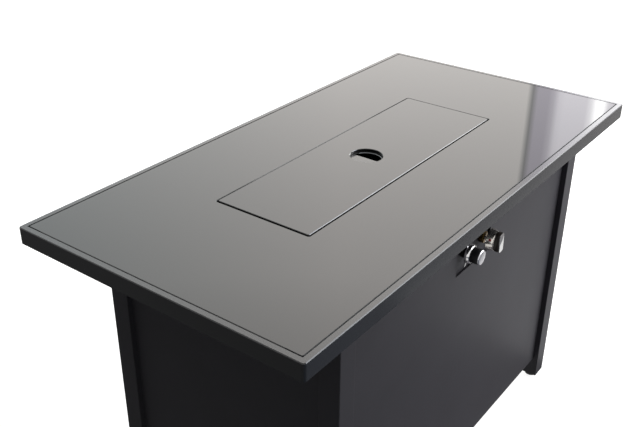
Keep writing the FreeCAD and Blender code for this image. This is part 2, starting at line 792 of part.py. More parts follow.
def make_control_knob():
    """Plated knob with a round skirt and a bar grip, pushed onto the stem's flat."""
    body = new_body("control_knob")
    place_control(body, "control_x")
    back, radius = "knob_back", "knob_radius"
    shoulder = "knob_back + knob_skirt"
    turned(body, "skirt", [
        ("0", back + " + 3"), (radius + " - 2.5", back + " + 3"), (radius + " - 2.5", back),
        (radius, back), (radius, shoulder + " - 2.5"), (radius + " - 3", shoulder),
        ("0", shoulder),
    ])
    grip = sketch_on(body, "XY_Plane", "grip", shoulder + " - 1")
    half, reach = number("knob_grip_width") / 2, number(radius) - 0.6
    tall = math.sqrt(reach ** 2 - half ** 2)
    swing = math.atan2(half, tall)
    up = math.pi / 2
    upper = grip.addGeometry(Part.ArcOfCircle(Part.Circle(Vector(0, 0, 0), Vector(0, 0, 1), reach),
                                              up - swing, up + swing), False)
    left = grip.addGeometry(Part.LineSegment(Vector(-half, tall, 0), Vector(-half, -tall, 0)), False)
    lower = grip.addGeometry(Part.ArcOfCircle(Part.Circle(Vector(0, 0, 0), Vector(0, 0, 1), reach),
                                              -up - swing, -up + swing), False)
    right = grip.addGeometry(Part.LineSegment(Vector(half, -tall, 0), Vector(half, tall, 0)), False)
    for first, second in ((upper, left), (left, lower), (lower, right), (right, upper)):
        grip.addConstraint(Sketcher.Constraint("Coincident", first, 2, second, 1))
    for arc in (upper, lower):
        grip.addConstraint(Sketcher.Constraint("Coincident", arc, 3, -1, 1))
        held = grip.addConstraint(Sketcher.Constraint("Radius", arc, reach))
        bind(grip, "Constraints[%d]" % held, radius + " - 0.6")
    for line, side in ((left, "-"), (right, "")):
        edge = side + "knob_grip_width / 2"
        grip.addConstraint(Sketcher.Constraint("Vertical", line))
        held = grip.addConstraint(Sketcher.Constraint("DistanceX", line, 1, number(edge)))
        bind(grip, "Constraints[%d]" % held, edge)
    pad(body, grip, "knob_front - knob_back - knob_skirt + 1")
    front = number("knob_front")
    soften(body, "Chamfer", "knob_rounding", lambda edge: is_level(edge, front))
    bore = circle(sketch_on(body, "XY_Plane", "stem_bore", back), "0", "0", "stem_radius + 0.02")
    cut(body, bore, "knob_front - knob_back - 7.9", forward=True)
    hub = circle(sketch_on(body, "XY_Plane", "hub", back), "0", "0", "7")
    circle(hub, "0", "0", "stem_radius + 0.02")
    pad(body, hub, "4")
    block(body, "stem_key", "-3", "3", "stem_radius - 1.18", "stem_radius + 0.5",
          back, "knob_front - 8")


def make_control_plate():
    """Steel plate behind the front panel's window that carries the valve and the igniter."""
    body = new_body("control_plate")
    block(body, "plate", "-plate_length / 2", "plate_length / 2", "-plate_face",
          "sheet_metal - plate_face", "plate_bottom", "plate_top")
    holes = sketch_on(body, "XZ_Plane", "control_holes", "plate_face")
    circle(holes, "control_x", "control_height", "valve_neck + 0.05")
    circle(holes, "-control_x", "control_height", "barrel_radius + 0.05")
    cut(body, holes, "sheet_metal")


def make_plate_spacers():
    """Welded blocks that hold the control plate behind the front panel."""
    body = new_body("plate_spacers")
    blocks = sketch_on(body, "XZ_Plane", "blocks", "plate_face")
    for side in ("-", ""):
        middle = side + "(plate_length / 2 - 7)"
        for height in ("plate_bottom + 6", "plate_top - 8"):
            rectangle(blocks, middle + " - 4", middle + " + 4", height + " - 4", height + " + 4")
    pad(body, blocks, "plate_setback")


def make_igniter_housing():
    """Electronic igniter body with the threaded barrel that passes through the plate."""
    body = new_body("igniter_housing")
    place_control(body, "-control_x")
    block(body, "case", "-15", "15", "-15", "15", "-52", "-sheet_metal")
    disc(body, "barrel", "0", "0", "barrel_radius", "-sheet_metal", "ring_back + 1")
    disc_cut(body, "plunger_bore", "0", "0", "plunger_radius + running_fit", "-44", "ring_back + 1")
    block(body, "terminal", "-3", "3", "-0.4", "0.4", "-60", "-52")


def make_igniter_ring():
    """Plated lock ring on the barrel, a shallow cup with three grip wings."""
    body = new_body("igniter_ring")
    place_control(body, "-control_x")
    back, front = "ring_back", "ring_back + ring_height"
    bore = "cap_radius + 0.5"
    turned(body, "cup", [("barrel_radius + 0.02", back), ("ring_radius", back), ("ring_radius", front),
                         (bore, front), (bore, back + " + 1"), ("barrel_radius + 0.02", back + " + 1")])
    wing = rectangle(sketch_on(body, "XY_Plane", "wing", back + " + 0.8"), "-1.5", "1.5",
                     "ring_radius - 1", "ring_radius + ring_wing")
    ring_of(body, pad(body, wing, "1.6"), 3)


def make_igniter_plunger():
    """Sliding sleeve in the barrel that holds the battery and takes the screw-on cap."""
    body = new_body("igniter_plunger")
    place_control(body, "-control_x")
    inner = "battery_radius + 0.1"
    front = "cap_front - 2"
    turned(body, "sleeve", [(inner, "-16"), ("plunger_radius", "-16"), ("plunger_radius", front),
                            (inner, front)])


def make_igniter_battery():
    """Small round cell inside the plunger."""
    body = new_body("igniter_battery")
    place_control(body, "-control_x")
    radius = "battery_radius"
    turned(body, "cell", [("0", "-14"), (radius, "-14"), (radius, "cap_front - 3.4"),
                          ("1.9", "cap_front - 3.4"), ("1.9", "cap_front - 2.3"), ("0", "cap_front - 2.3")])


def make_igniter_cap():
    """Black sleeve of the push button, which screws off for the battery."""
    body = new_body("igniter_cap")
    place_control(body, "-control_x")
    back = "ring_back + 4"
    inner = "plunger_radius + 0.1"
    turned(body, "sleeve", [(inner, back), ("cap_radius", back), ("cap_radius", "cap_front"),
                            ("0", "cap_front"), ("0", "cap_front - 2"), (inner, "cap_front - 2")])


def make_igniter_cap_face():
    """Plated disc with a bevelled rim, on the end of the push button."""
    body = new_body("igniter_cap_face")
    place_control(body, "-control_x")
    rise = "cap_front + cap_face"
    turned(body, "disc", [("0", "cap_front"), ("cap_radius - 0.1", "cap_front"),
                          ("cap_radius - 0.1", rise + " - 1.2"), ("cap_radius - 1.3", rise),
                          ("0", rise)])


def make_heat_shield():
    """Folded steel shield fixed to the upper rails, between the burner and the tank."""
    body = new_body("heat_shield")
    section = sketch_on(body, "YZ_Plane", "fold", "plate_length / 2 + 9")
    wall, side = "panel_sheet", "(sheet_y - rail_wall)"
    low, high = "(rail_low - shield_drop)", "(rail_low + shield_overlap)"
    outline(section, [
        ("-" + side, low), (side, low), (side, high), (side + " - " + wall, high),
        (side + " - " + wall, low + " + " + wall), (wall + " - " + side, low + " + " + wall),
        (wall + " - " + side, high), ("-" + side, high)])
    pad(body, section, "shield_length")


def bent_tube(name, radius, bend, points):
    """Tube or lead that follows straight runs joined by round bends, as one swept solid."""
    route = [Vector(*(number(value) for value in point)) for point in points]
    edges = []
    start = route[0]
    for before, corner, after in zip(route, route[1:], route[2:]):
        into, out_of = (corner - before).normalize(), (after - corner).normalize()
        turn = into.getAngle(out_of)
        back = number(bend) * math.tan(turn / 2)
        enter, leave = corner - into * back, corner + out_of * back
        inward = (out_of - into).normalize()
        middle = corner + inward * (number(bend) * (1 / math.cos(turn / 2) - 1))
        edges.append(Part.LineSegment(start, enter).toShape())
        edges.append(Part.Arc(enter, middle, leave).toShape())
        start = leave
    edges.append(Part.LineSegment(start, route[-1]).toShape())
    path = Part.Wire(edges)
    along = route[1] - route[0]
    section = Part.Wire(Part.Circle(route[0], along, number(radius)).toShape())
    tube = doc.addObject("Part::Feature", name)
    tube.Label = name
    tube.Shape = path.makePipeShell([section], True, False)
    expected = math.pi * number(radius) ** 2 * path.Length
    print("%s: %.0f mm long, bends of %.0f mm, volume %.3f of its section times its length"
          % (name, path.Length, number(bend), tube.Shape.Volume / expected))
    parts.append(tube)


def make_gas_pipe():
    """Pipe from the valve's outlet to the orifice under the burner."""
    outlet = "64 - plate_face"
    jet = "mixer_bottom - 20"
    bent_tube("gas_pipe", "pipe_radius", "24", [
        ("control_x", outlet, "control_height"), ("control_x", outlet + " + 14", "control_height"),
        ("0", "-30", jet), ("0", "-16", jet)])


def make_flame_sensor():
    """Sensor rod in its sleeve, standing beside the electrode."""
    body = new_body("flame_sensor")
    place(body, "-burner_bend - 6", "-12", "pan_floor")
    tip = "burner_lift + 12"
    turned(body, "rod", [("0", "-14"), ("sensor_sleeve", "-14"), ("sensor_sleeve", "0"),
                         ("sensor_radius", "0"), ("sensor_radius", tip), ("0", tip)])


def make_spark_electrode():
    """Ceramic insulator with the spark rod, beside the flame sensor."""
    body = new_body("spark_electrode")
    place(body, "-burner_bend - 6", "12", "pan_floor")
    turned(body, "insulator", [("0", "-12"), ("5", "-12"), ("5", "5"), ("3.5", "5"), ("3.5", "28"),
                               ("1.2", "28"), ("1.2", "42"), ("0", "42")])


def make_sensor_bracket():
    """Small plate on the pan floor that locates the electrode and the flame sensor."""
    body = new_body("sensor_bracket")
    middle = "(burner_bend + 6)"
    block(body, "plate", "-%s - 9" % middle, "9 - " + middle, "-20", "20",
          "pan_floor", "pan_floor + sheet_metal")
    disc_cut(body, "sensor_hole", "-" + middle, "-12", "sensor_radius", "pan_floor",
             "pan_floor + sheet_metal")
    disc_cut(body, "electrode_hole", "-" + middle, "12", "5", "pan_floor", "pan_floor + sheet_metal")


def make_posts():
    """Four square tube posts, closed at the top and open below for the foot plugs."""
    for depth_name, y_side in (("front", "-"), ("back", "")):
        for length_name, x_side in (("left", "-"), ("right", "")):
            body = new_body("post_%s_%s" % (depth_name, length_name))
            half, inner = "post_size / 2", "(post_size / 2 - post_wall)"
            place(body, x_side + "(post_x - %s)" % half, y_side + "(post_y - %s)" % half, "foot_height")
            tall = "rim_bottom - foot_height"
            block(body, "tube", "-" + half, half, "-" + half, half, "0", tall)
            soften(body, "Fillet", "post_edge", is_upright)
            block_cut(body, "hollow", "-" + inner, inner, "-" + inner, inner, "0", tall + " - post_wall")


def make_feet():
    """Four levelling feet with round pads and threaded studs."""
    for depth_name, y_side in (("front", "-"), ("back", "")):
        for length_name, x_side in (("left", "-"), ("right", "")):
            body = new_body("foot_%s_%s" % (depth_name, length_name))
            place(body, x_side + "(post_x - post_size / 2)", y_side + "(post_y - post_size / 2)", "0")
            top = "foot_height - foot_gap"
            turned(body, "foot", [
                ("0", "0"), ("foot_radius - foot_edge", "0"), ("foot_radius", "foot_edge"),
                ("foot_radius", top), ("stud_radius", top),
                ("stud_radius", "foot_height + stud_length"), ("0", "foot_height + stud_length")])


def make_foot_inserts():
    """Threaded plugs in the lower ends of the posts."""
    body = new_body("foot_inserts")
    half = "(post_size / 2 - post_wall)"
    for x_side, y_side in signs():
        x = x_side + "(post_x - post_size / 2)"
        y = y_side + "(post_y - post_size / 2)"
        block(body, "plug", "%s - %s" % (x, half), "%s + %s" % (x, half), "%s - %s" % (y, half),
              "%s + %s" % (y, half), "foot_height", "foot_height + insert_height")
        disc_cut(body, "thread", x, y, "stud_radius + running_fit", "foot_height",
                 "foot_height + insert_height")


def angle_outline(sketch, side, face, low, high, leg_up=True):
    """Section of an angle rail whose upright leg lies against a panel."""
    outer = side + face
    step = "-" if side == "" else "+"
    wall_line = "%s %s rail_wall" % (outer, step)
    inner = "%s %s rail_size" % (outer, step)
    outline(sketch, [(outer, low), (outer, high), (inner, high), (inner, high + " - rail_wall"),
                     (wall_line, high + " - rail_wall"), (wall_line, low)])


def make_rails(name, low, high, end_setback):
    """Four angle rails between the posts, with their flat legs uppermost."""
    body = new_body(name)
    sides = sketch_on(body, "YZ_Plane", "front_and_back")
    angle_outline(sides, "-", "sheet_y", low, high)
    angle_outline(sides, "", "sheet_y", low, high)
    pad(body, sides, "2 * inner_x", both_ways=True)
    ends = sketch_on(body, "XZ_Plane", "left_and_right")
    angle_outline(ends, "-", "sheet_x", low, high)
    angle_outline(ends, "", "(sheet_x - %s)" % end_setback, low, high)
    pad(body, ends, "2 * inner_y", both_ways=True)
    return body


def make_long_panel(name, side):
    """Front or back panel: a sheet set behind the posts' faces, with returns at its edges."""
    body = new_body(name)
    outer, inner, lip = "panel_y", "sheet_y", "(sheet_y - panel_return)"
    low, high = "panel_bottom", "rim_bottom"

    def between(first, second):
        return ("-" + first, "-" + second) if side == "-" else (second, first)

    block(body, "sheet", "-inner_x", "inner_x", *between(outer, inner), low, high)
    for x_side, name_side in (("-", "left"), ("", "right")):
        edges = ("-inner_x", "panel_sheet - inner_x") if x_side else ("inner_x - panel_sheet", "inner_x")
        block(body, name_side + "_return", *edges, *between(inner, lip), "tray_level + 2", "rail_low - 2")
    block(body, "hem", "-inner_x", "inner_x", *between(inner, "(sheet_y - 2 * panel_sheet)"),
          low, "tray_rail_low - 0.5")
    return body


def make_front_panel():
    """Front panel with the window for the controls."""
    body = make_long_panel("front_panel", "-")
    window = rectangle(sketch_on(body, "XZ_Plane", "window", "panel_y"), "-window_length / 2",
                       "window_length / 2", "window_bottom", "window_bottom + window_height")
    cut(body, window, "panel_sheet")


def make_back_panel():
    """Back panel with two rows of vent slots under its top edge."""
    body = make_long_panel("back_panel", "")
    slots = sketch_on(body, "XZ_Plane", "vents", "-sheet_y")
    for level in ("vent_low", "vent_high"):
        rectangle(slots, "-3 * vent_pitch - 30", "30 - 3 * vent_pitch", level + " - 4", level + " + 4")
    row_of(body, cut(body, slots, "panel_sheet"), "X_Axis", "vent_pitch", 7)


def make_left_panel():
    """Plain end panel on the left."""
    body = new_body("left_panel")
    block(body, "sheet", "-panel_x", "-sheet_x", "-inner_y", "inner_y", "panel_bottom", "rim_bottom")
    for side, edges in (("front", ("-inner_y", "panel_sheet - inner_y")),
                        ("back", ("inner_y - panel_sheet", "inner_y"))):
        block(body, side + "_return", "-sheet_x", "panel_return - sheet_x", *edges,
              "tray_level + 2", "rail_low - 2")
    block(body, "hem", "-sheet_x", "2 * panel_sheet - sheet_x", "-inner_y", "inner_y",
          "panel_bottom", "tray_rail_low - 0.5")


def make_access_door():
    """Right end door to the tank bay: a shallow sheet tray with a finger hole."""
    body = new_body("access_door")
    back_edge, front_edge = "(inner_y - door_gap)", "(inner_y - door_gap)"
    block(body, "sheet", "sheet_x", "panel_x", "-" + front_edge, back_edge, "door_bottom", "door_top")
    inner, wall = "sheet_x - door_return", "panel_sheet"
    block(body, "front_return", inner, "sheet_x", "-" + front_edge, "%s - %s" % (wall, front_edge),
          "door_bottom", "door_top")
    block(body, "back_return", inner, "sheet_x", "%s - %s" % (back_edge, wall), back_edge,
          "door_bottom", "door_top")
    block(body, "low_return", inner, "sheet_x", "%s - %s" % (wall, front_edge),
          "%s - %s" % (back_edge, wall), "door_bottom", "door_bottom + " + wall)
    block(body, "top_return", inner, "sheet_x", "%s - %s" % (wall, front_edge),
          "%s - %s" % (back_edge, wall), "door_top - " + wall, "door_top")
    hole = circle(sketch_on(body, "YZ_Plane", "finger_hole", "panel_x"), "45 - inner_y",
                  "door_hole_height", "door_hole")
    cut(body, hole, "panel_sheet")


def make_hinges():
    """Two barrel hinges: leaves on the post, leaves on the door and their pins."""
    third = "(hinge_height / 3)"
    play = "0.3"
    barrel, pin = "hinge_barrel", "hinge_pin"
    leaf = "1.5"
    post_leaves = new_body("hinge_post_leaves")
    door_leaves = new_body("hinge_door_leaves")
    pins = new_body("hinge_pins")
    for middle in ("hinge_low", "hinge_high"):
        low, high = "%s - hinge_height / 2" % middle, "%s + hinge_height / 2" % middle
        disc(post_leaves, "knuckle_low", "hinge_x", "hinge_y", barrel, low, low + " + " + third)
        disc(post_leaves, "knuckle_high", "hinge_x", "hinge_y", barrel, high + " - " + third, high)
        block(post_leaves, "leaf_low", "panel_x - 24", "hinge_x", "inner_y - " + leaf, "inner_y",
              low, low + " + " + third)
        block(post_leaves, "leaf_high", "panel_x - 24", "hinge_x", "inner_y - " + leaf, "inner_y",
              high + " - " + third, high)
        block(post_leaves, "leaf_middle", "panel_x - 24", "panel_x - 4", "inner_y - " + leaf, "inner_y",
              low + " + " + third, high + " - " + third)
        disc_cut(post_leaves, "pin_bore", "hinge_x", "hinge_y", pin + " + 0.02", low, high)
        inner_low = "%s + %s + %s" % (low, third, play)
        inner_high = "%s - %s - %s" % (high, third, play)
        disc(door_leaves, "knuckle", "hinge_x", "hinge_y", barrel, inner_low, inner_high)
        block(door_leaves, "tongue", "panel_x", "panel_x + " + leaf, "hinge_y - 4", "hinge_y",
              inner_low, inner_high)
        block(door_leaves, "leaf", "panel_x", "panel_x + " + leaf, "hinge_y - 26", "hinge_y - 4",
              low, high)
        disc_cut(door_leaves, "pin_bore", "hinge_x", "hinge_y", pin + " + 0.08", inner_low, inner_high)
        disc(pins, "pin", "hinge_x", "hinge_y", pin, low + " - 1", high + " + 1")
        disc(pins, "pin_head", "hinge_x", "hinge_y", barrel, high + "", high + " + 1.5")


def make_door_catch():
    """Magnet on the front right post and the steel strike on the door."""
    magnet = new_body("door_magnet")
    low, high = "door_hole_height - 20", "door_hole_height + 20"
    face = "(sheet_x - door_return - 1)"
    block(magnet, "case", face + " - 13", face, "-inner_y", "22 - inner_y", low, high)
    strike = new_body("door_strike")
    block(strike, "tab", face + " + 0.3", "sheet_x", "door_gap + panel_sheet - inner_y",
          "18 - inner_y", "door_hole_height - 10", "door_hole_height + 10")


def make_bottom_tray():
    """Tray on the lower rails, with notched corners and air holes, that carries the tank."""
    body = new_body("bottom_tray")
    level, top = "tray_level", "tray_level + sheet_metal"
    x, y = "(sheet_x - 2)", "(sheet_y - 1)"
    notch_x, notch_y = "(inner_x - 2)", "(inner_y - 2)"
    right, right_notch = "(sheet_x - 14)", "(inner_x - 2)"
    sheet_sketch = sketch_on(body, "XY_Plane", "sheet", level)
    outline(sheet_sketch, [
        ("-" + x, "-" + notch_y), ("-" + notch_x, "-" + notch_y), ("-" + notch_x, "-" + y),
        (right_notch, "-" + y), (right_notch, "-" + notch_y), (right, "-" + notch_y),
        (right, notch_y), (right_notch, notch_y), (right_notch, y), ("-" + notch_x, y),
        ("-" + notch_x, notch_y), ("-" + x, notch_y)])
    pad(body, sheet_sketch, "sheet_metal")
    holes = sketch_on(body, "XY_Plane", "air_holes", top)
    circle(holes, "tank_place", "0", "60")
    for x_place in ("-280", "-200", "-120"):
        for near, far in (("-150", "-30"), ("30", "150")):
            rectangle(holes, x_place + " - 8", x_place + " + 8", near, far)
    cut(body, holes, "sheet_metal")


def make_tank_stops():
    """Four bent lugs welded to the tray, which keep the foot of the gas tank in place."""
    body = new_body("tank_stops")
    place(body, "tank_place", "0", "tray_level + sheet_metal")
    inner, wall = "tank_radius", "stop_wall"
    section = outline(sketch_on(body, "XZ_Plane", "lug"), [
        (inner, "0"), (inner + " + stop_foot", "0"), (inner + " + stop_foot", wall),
        (inner + " + " + wall, wall), (inner + " + " + wall, "stop_height"), (inner, "stop_height")])
    ring_of(body, pad(body, section, "stop_width", both_ways=True), 4)


def make_top_bolts():
    """Hexagon bolts that hold the table top to the base, up through the upper rails."""
    solids = []
    for x_side, y_side in signs():
        x, y = x_side + "bolt_x", y_side + "bolt_y"
        head = doc.addObject("Part::Prism", "bolt_head")
        head.Polygon = 6
        bind(head, "Circumradius", "6")
        bind(head, "Height", "4")
        shank = loose_disc("bolt_shank", x, y, "bolt_radius", "rim_bottom - rail_wall - 2",
                           "rim_bottom + 14")
        for name, text in zip("xyz", (x, y, "rim_bottom - rail_wall - 4")):
            bind(head, "Placement.Base." + name, text)
        bolt = doc.addObject("Part::Fuse", "bolt")
        bolt.Base = head
        bolt.Tool = shank
        solids.append(bolt)
    group("top_bolts", solids)


def make_all():
    """Build every piece of the table."""
    make_top_rim()
    make_top_support_frame()
    make_glass_pads()
    make_glass_top()
    make_lid()
    make_lid_finger_plate()
    make_lid_pads()
    make_burner_pan()
    make_burner_tube()
    make_burner_saddles()
    make_air_mixer()
    make_gas_orifice()
    make_gas_valve()
    make_gas_inlet()
    make_valve_plunger()
    make_valve_stem()
    make_valve_nut()
    make_control_knob()
    make_control_plate()
    make_plate_spacers()
    make_igniter_housing()
    make_igniter_ring()
    make_igniter_plunger()
    make_igniter_battery()
    make_igniter_cap()
    make_igniter_cap_face()
    make_heat_shield()
    make_gas_pipe()
    make_flame_sensor()
    make_spark_electrode()
    make_sensor_bracket()
    make_posts()
    make_feet()
    make_foot_inserts()
    upper = make_rails("upper_rails", "rail_low", "rim_bottom", "0")
    for x_side, y_side in signs():
        disc_cut(upper, "bolt_hole", x_side + "bolt_x", y_side + "bolt_y", "bolt_radius + 0.2",
                 "rim_bottom - rail_wall", "rim_bottom")
    make_rails("lower_rails", "tray_rail_low", "tray_level", "(door_return + 2)")
    make_front_panel()
    make_back_panel()
    make_left_panel()
    make_access_door()
    make_hinges()
    make_door_catch()
    make_bottom_tray()
    make_tank_stops()
    make_top_bolts()


def write_parts():
    """Check every object and write each piece to its own file."""
    doc.recompute()
    for item in doc.Objects:
        if "Invalid" in item.State or "Error" in item.State:
            raise RuntimeError("%s is %s" % (item.Label, item.State))
    for part in parts:
        if part.Shape.isNull() or not part.Shape.isValid() or part.Shape.Volume <= 0:
            raise RuntimeError("%s has no sound shape" % part.Label)
    os.makedirs("parts", exist_ok=True)
    for part in parts:
        part.Shape.exportStep(os.path.join("parts", part.Label + ".step"))
    print("%d parts written" % len(parts))


make_all()
write_parts()
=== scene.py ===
"""Rectangular gas fire pit table: finishes, visible fittings, studio and camera.

Lengths are in metres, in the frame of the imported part: the origin is on the floor under
the middle of the table, X runs along its length, the controls face -Y and Z is up.
"""

import json
import logging
import math
from dataclasses import dataclass, field
from enum import Enum
from typing import Iterable, Optional

import bmesh
import bpy
from mathutils import Matrix, Vector


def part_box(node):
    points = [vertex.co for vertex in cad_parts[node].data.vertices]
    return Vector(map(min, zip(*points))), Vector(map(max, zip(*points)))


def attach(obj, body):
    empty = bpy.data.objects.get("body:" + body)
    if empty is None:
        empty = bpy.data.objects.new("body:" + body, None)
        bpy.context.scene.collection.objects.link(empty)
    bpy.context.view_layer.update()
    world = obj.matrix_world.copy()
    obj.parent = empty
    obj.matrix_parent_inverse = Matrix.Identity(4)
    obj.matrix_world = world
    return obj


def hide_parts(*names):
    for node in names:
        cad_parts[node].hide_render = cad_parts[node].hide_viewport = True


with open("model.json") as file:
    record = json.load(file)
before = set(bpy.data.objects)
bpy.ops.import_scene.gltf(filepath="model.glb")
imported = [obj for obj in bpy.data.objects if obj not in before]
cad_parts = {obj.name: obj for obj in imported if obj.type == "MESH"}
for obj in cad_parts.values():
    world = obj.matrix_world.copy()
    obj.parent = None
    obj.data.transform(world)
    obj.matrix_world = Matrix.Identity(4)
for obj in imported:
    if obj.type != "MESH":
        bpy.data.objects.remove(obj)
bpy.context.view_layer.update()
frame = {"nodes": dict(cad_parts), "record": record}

LOG = logging.getLogger("fire_pit_table")
MM = 0.001
PHOTO_WIDTH = 640
QUARTER_TURN = math.radians(90.0)

Triple = tuple[float, float, float]
Profile = list[tuple[float, float]]


class Body(Enum):
    """The bodies that the new pieces ride on."""

    ROOT = "root"
    LID = "lid"
    KNOB = "knob"
    BATTERY_CAP = "battery_cap"
    FRONT_LEFT_FOOT = "front_left_foot"
    FRONT_RIGHT_FOOT = "front_right_foot"
    BACK_LEFT_FOOT = "back_left_foot"
    BACK_RIGHT_FOOT = "back_right_foot"


class Slot(Enum):
    """The record's material slots."""

    POWDER_COAT = "powder_coat"
    FRAME_PAINT = "frame_paint"
    TABLE_GLASS = "table_glass"
    LID_PLATE_PAINT = "lid_plate_paint"
    SILICONE = "silicone"
    STAINLESS_STEEL = "stainless_steel"
    GALVANISED_STEEL = "galvanised_steel"
    BRASS = "brass"
    CAST_ALUMINIUM = "cast_aluminium"
    ZINC_PLATE = "zinc_plate"
    CERAMIC = "ceramic"
    BLACK_PLASTIC = "black_plastic"
    BATTERY_CASE = "battery_case"
    BRIGHT_CHROME = "bright_chrome"


class Along(Enum):
    """The direction that a brushed or drawn finish runs in, as a stretch of its pattern."""

    X = (0.04, 1.0, 1.0)
    Y = (1.0, 0.04, 1.0)
    Z = (1.0, 1.0, 0.04)


class Side(Enum):
    """The half of the control plate that a fitting stands on, as the sign of its X."""

    LEFT = -1
    RIGHT = 1


def linear(colour: str) -> tuple[float, float, float, float]:
    """Turns an sRGB hex colour to linear.

    Args:
        colour: six hex digits after a hash sign.

    Returns:
        Linear red, green and blue, and an alpha of 1.
    """
    shares = [int(colour[start:start + 2], 16) / 255 for start in (1, 3, 5)]
    red, green, blue = (share / 12.92 if share <= 0.04045 else ((share + 0.055) / 1.055) ** 2.4
                        for share in shares)
    return red, green, blue, 1.0


def add_node(tree: bpy.types.NodeTree, kind: str, settings: Optional[dict] = None,
             links: Optional[dict] = None) -> bpy.types.Node:
    """Adds a node to a tree.

    Args:
        tree: the tree.
        kind: the node's type name, without its ShaderNode prefix.
        settings: values by the name or number of an input, or by the node's own property.
        links: output sockets by the name or number of the input that they feed.

    Returns:
        The new node.
    """
    node = tree.nodes.new("ShaderNode" + kind)
    for name, value in (settings or {}).items():
        if isinstance(name, int) or name in node.inputs:
            node.inputs[name].default_value = value
        else:
            setattr(node, name, value)
    for name, source in (links or {}).items():
        tree.links.new(source, node.inputs[name])
    return node


def empty_tree(owner: bpy.types.ID) -> bpy.types.NodeTree:
    """Turns on the nodes of a new material or world.

    Args:
        owner: the material or world.

    Returns:
        Its tree, with nothing in it.
    """
    owner.use_nodes = True
    owner.node_tree.nodes.clear()
    return owner.node_tree


def set_stops(ramp: bpy.types.Node, stops: list[tuple[float, Iterable[float]]]) -> None:
    """Gives a colour ramp its stops.

    Args:
        ramp: the ramp's node.
        stops: the position of each, from 0 to 1, and its linear colour.
    """
    elements = ramp.color_ramp.elements
    while len(elements) < len(stops):
        elements.new(0.5)
    for element, (position, tone) in zip(elements, stops):
        element.position = position
        element.color = (*tone, 1.0)


def add_object(name: str, data: bpy.types.ID) -> bpy.types.Object:
    """Makes an object in the scene.

    Args:
        name: its name.
        data: its mesh, camera or lamp.

    Returns:
        The object.
    """
    made = bpy.data.objects.new(name, data)
    bpy.context.scene.collection.objects.link(made)
    return made


def per_metre(size_mm: float) -> float:
    """Scale of a pattern whose features are that many millimetres apart."""
    return 1.0 / (size_mm * MM)


@dataclass(frozen=True)
class Finish:
    """A real material and how its surface was made."""

    title: str = "finish"

    def shade(self, tree: bpy.types.NodeTree, place: bpy.types.NodeSocket) -> bpy.types.Node:
        """Adds the finish's nodes.

        Args:
            tree: the material's tree.
            place: the object's own coordinates.

        Returns:
            The shader.
        """
        raise NotImplementedError

    def material(self) -> bpy.types.Material:
        """Makes the material the first time, and finds it again after that.

        Returns:
            The material.
        """
        made = bpy.data.materials.get(self.title)
        if made is None:
            made = bpy.data.materials.new(self.title)
            tree = empty_tree(made)
            shader = self.shade(tree, add_node(tree, "TexCoord").outputs["Object"])
            add_node(tree, "OutputMaterial", links={"Surface": shader.outputs[0]})
        return made


@dataclass(frozen=True)
class GrainedFinish(Finish):
    """A finish whose ground tone and the tone of its marks are mixed by one fine pattern.

    The same pattern may vary the roughness, by so much below and above, and raise the
    surface.
    """

    ground: str = "#808080"
    marks: str = "#808080"
    grain_mm: float = 1.0
    detail: float = 4.0
    depth_mm: float = 0.0
    roughness: float = 0.5
    spread: tuple[float, float] = (0.0, 0.0)
    metallic: float = 0.0
    gloss: float = 0.5
    coat: float = 0.0
    coat_roughness: float = 0.03

    def grain(self, tree: bpy.types.NodeTree,
              place: bpy.types.NodeSocket) -> bpy.types.NodeSocket:
        """Adds the fine pattern.

        Args:
            tree: the material's tree.
            place: the coordinates that it lies on.

        Returns:
            Its strength at each point.
        """
        noise = add_node(tree, "TexNoise",
                         {"Scale": per_metre(self.grain_mm), "Detail": self.detail},
                         {"Vector": place})
        return noise.outputs["Fac"]

    def blend(self, tree: bpy.types.NodeTree, place: bpy.types.NodeSocket,
              grain: bpy.types.NodeSocket) -> bpy.types.NodeSocket:
        """Chooses what mixes the two tones.

        Args:
            tree: the material's tree.
            place: the object's own coordinates.
            grain: the fine pattern.

        Returns:
            The share of the marks' tone, which here is the fine pattern itself.
        """
        return grain

    def shade(self, tree: bpy.types.NodeTree, place: bpy.types.NodeSocket) -> bpy.types.Node:
        """Adds the finish's nodes.

        Args:
            tree: the material's tree.
            place: the object's own coordinates.

        Returns:
            The shader.
        """
        grain = self.grain(tree, place)
        colour = add_node(tree, "Mix", {"data_type": "RGBA", 6: linear(self.ground),
                                        7: linear(self.marks)},
                          {0: self.blend(tree, place, grain)})
        links = {"Base Color": colour.outputs[2]}
        if any(self.spread):
            below, above = self.spread
            rough = add_node(tree, "MapRange", {"To Min": self.roughness - below,
                                                "To Max": self.roughness + above},
                             {"Value": grain})
            links["Roughness"] = rough.outputs[0]
        if self.depth_mm:
            bump = add_node(tree, "Bump", {"Distance": self.depth_mm * MM}, {"Height": grain})
            links["Normal"] = bump.outputs[0]
        return add_node(tree, "BsdfPrincipled",
                        {"Metallic": self.metallic, "Roughness": self.roughness,
                         "Specular IOR Level": self.gloss, "Coat Weight": self.coat,
                         "Coat Roughness": self.coat_roughness}, links)


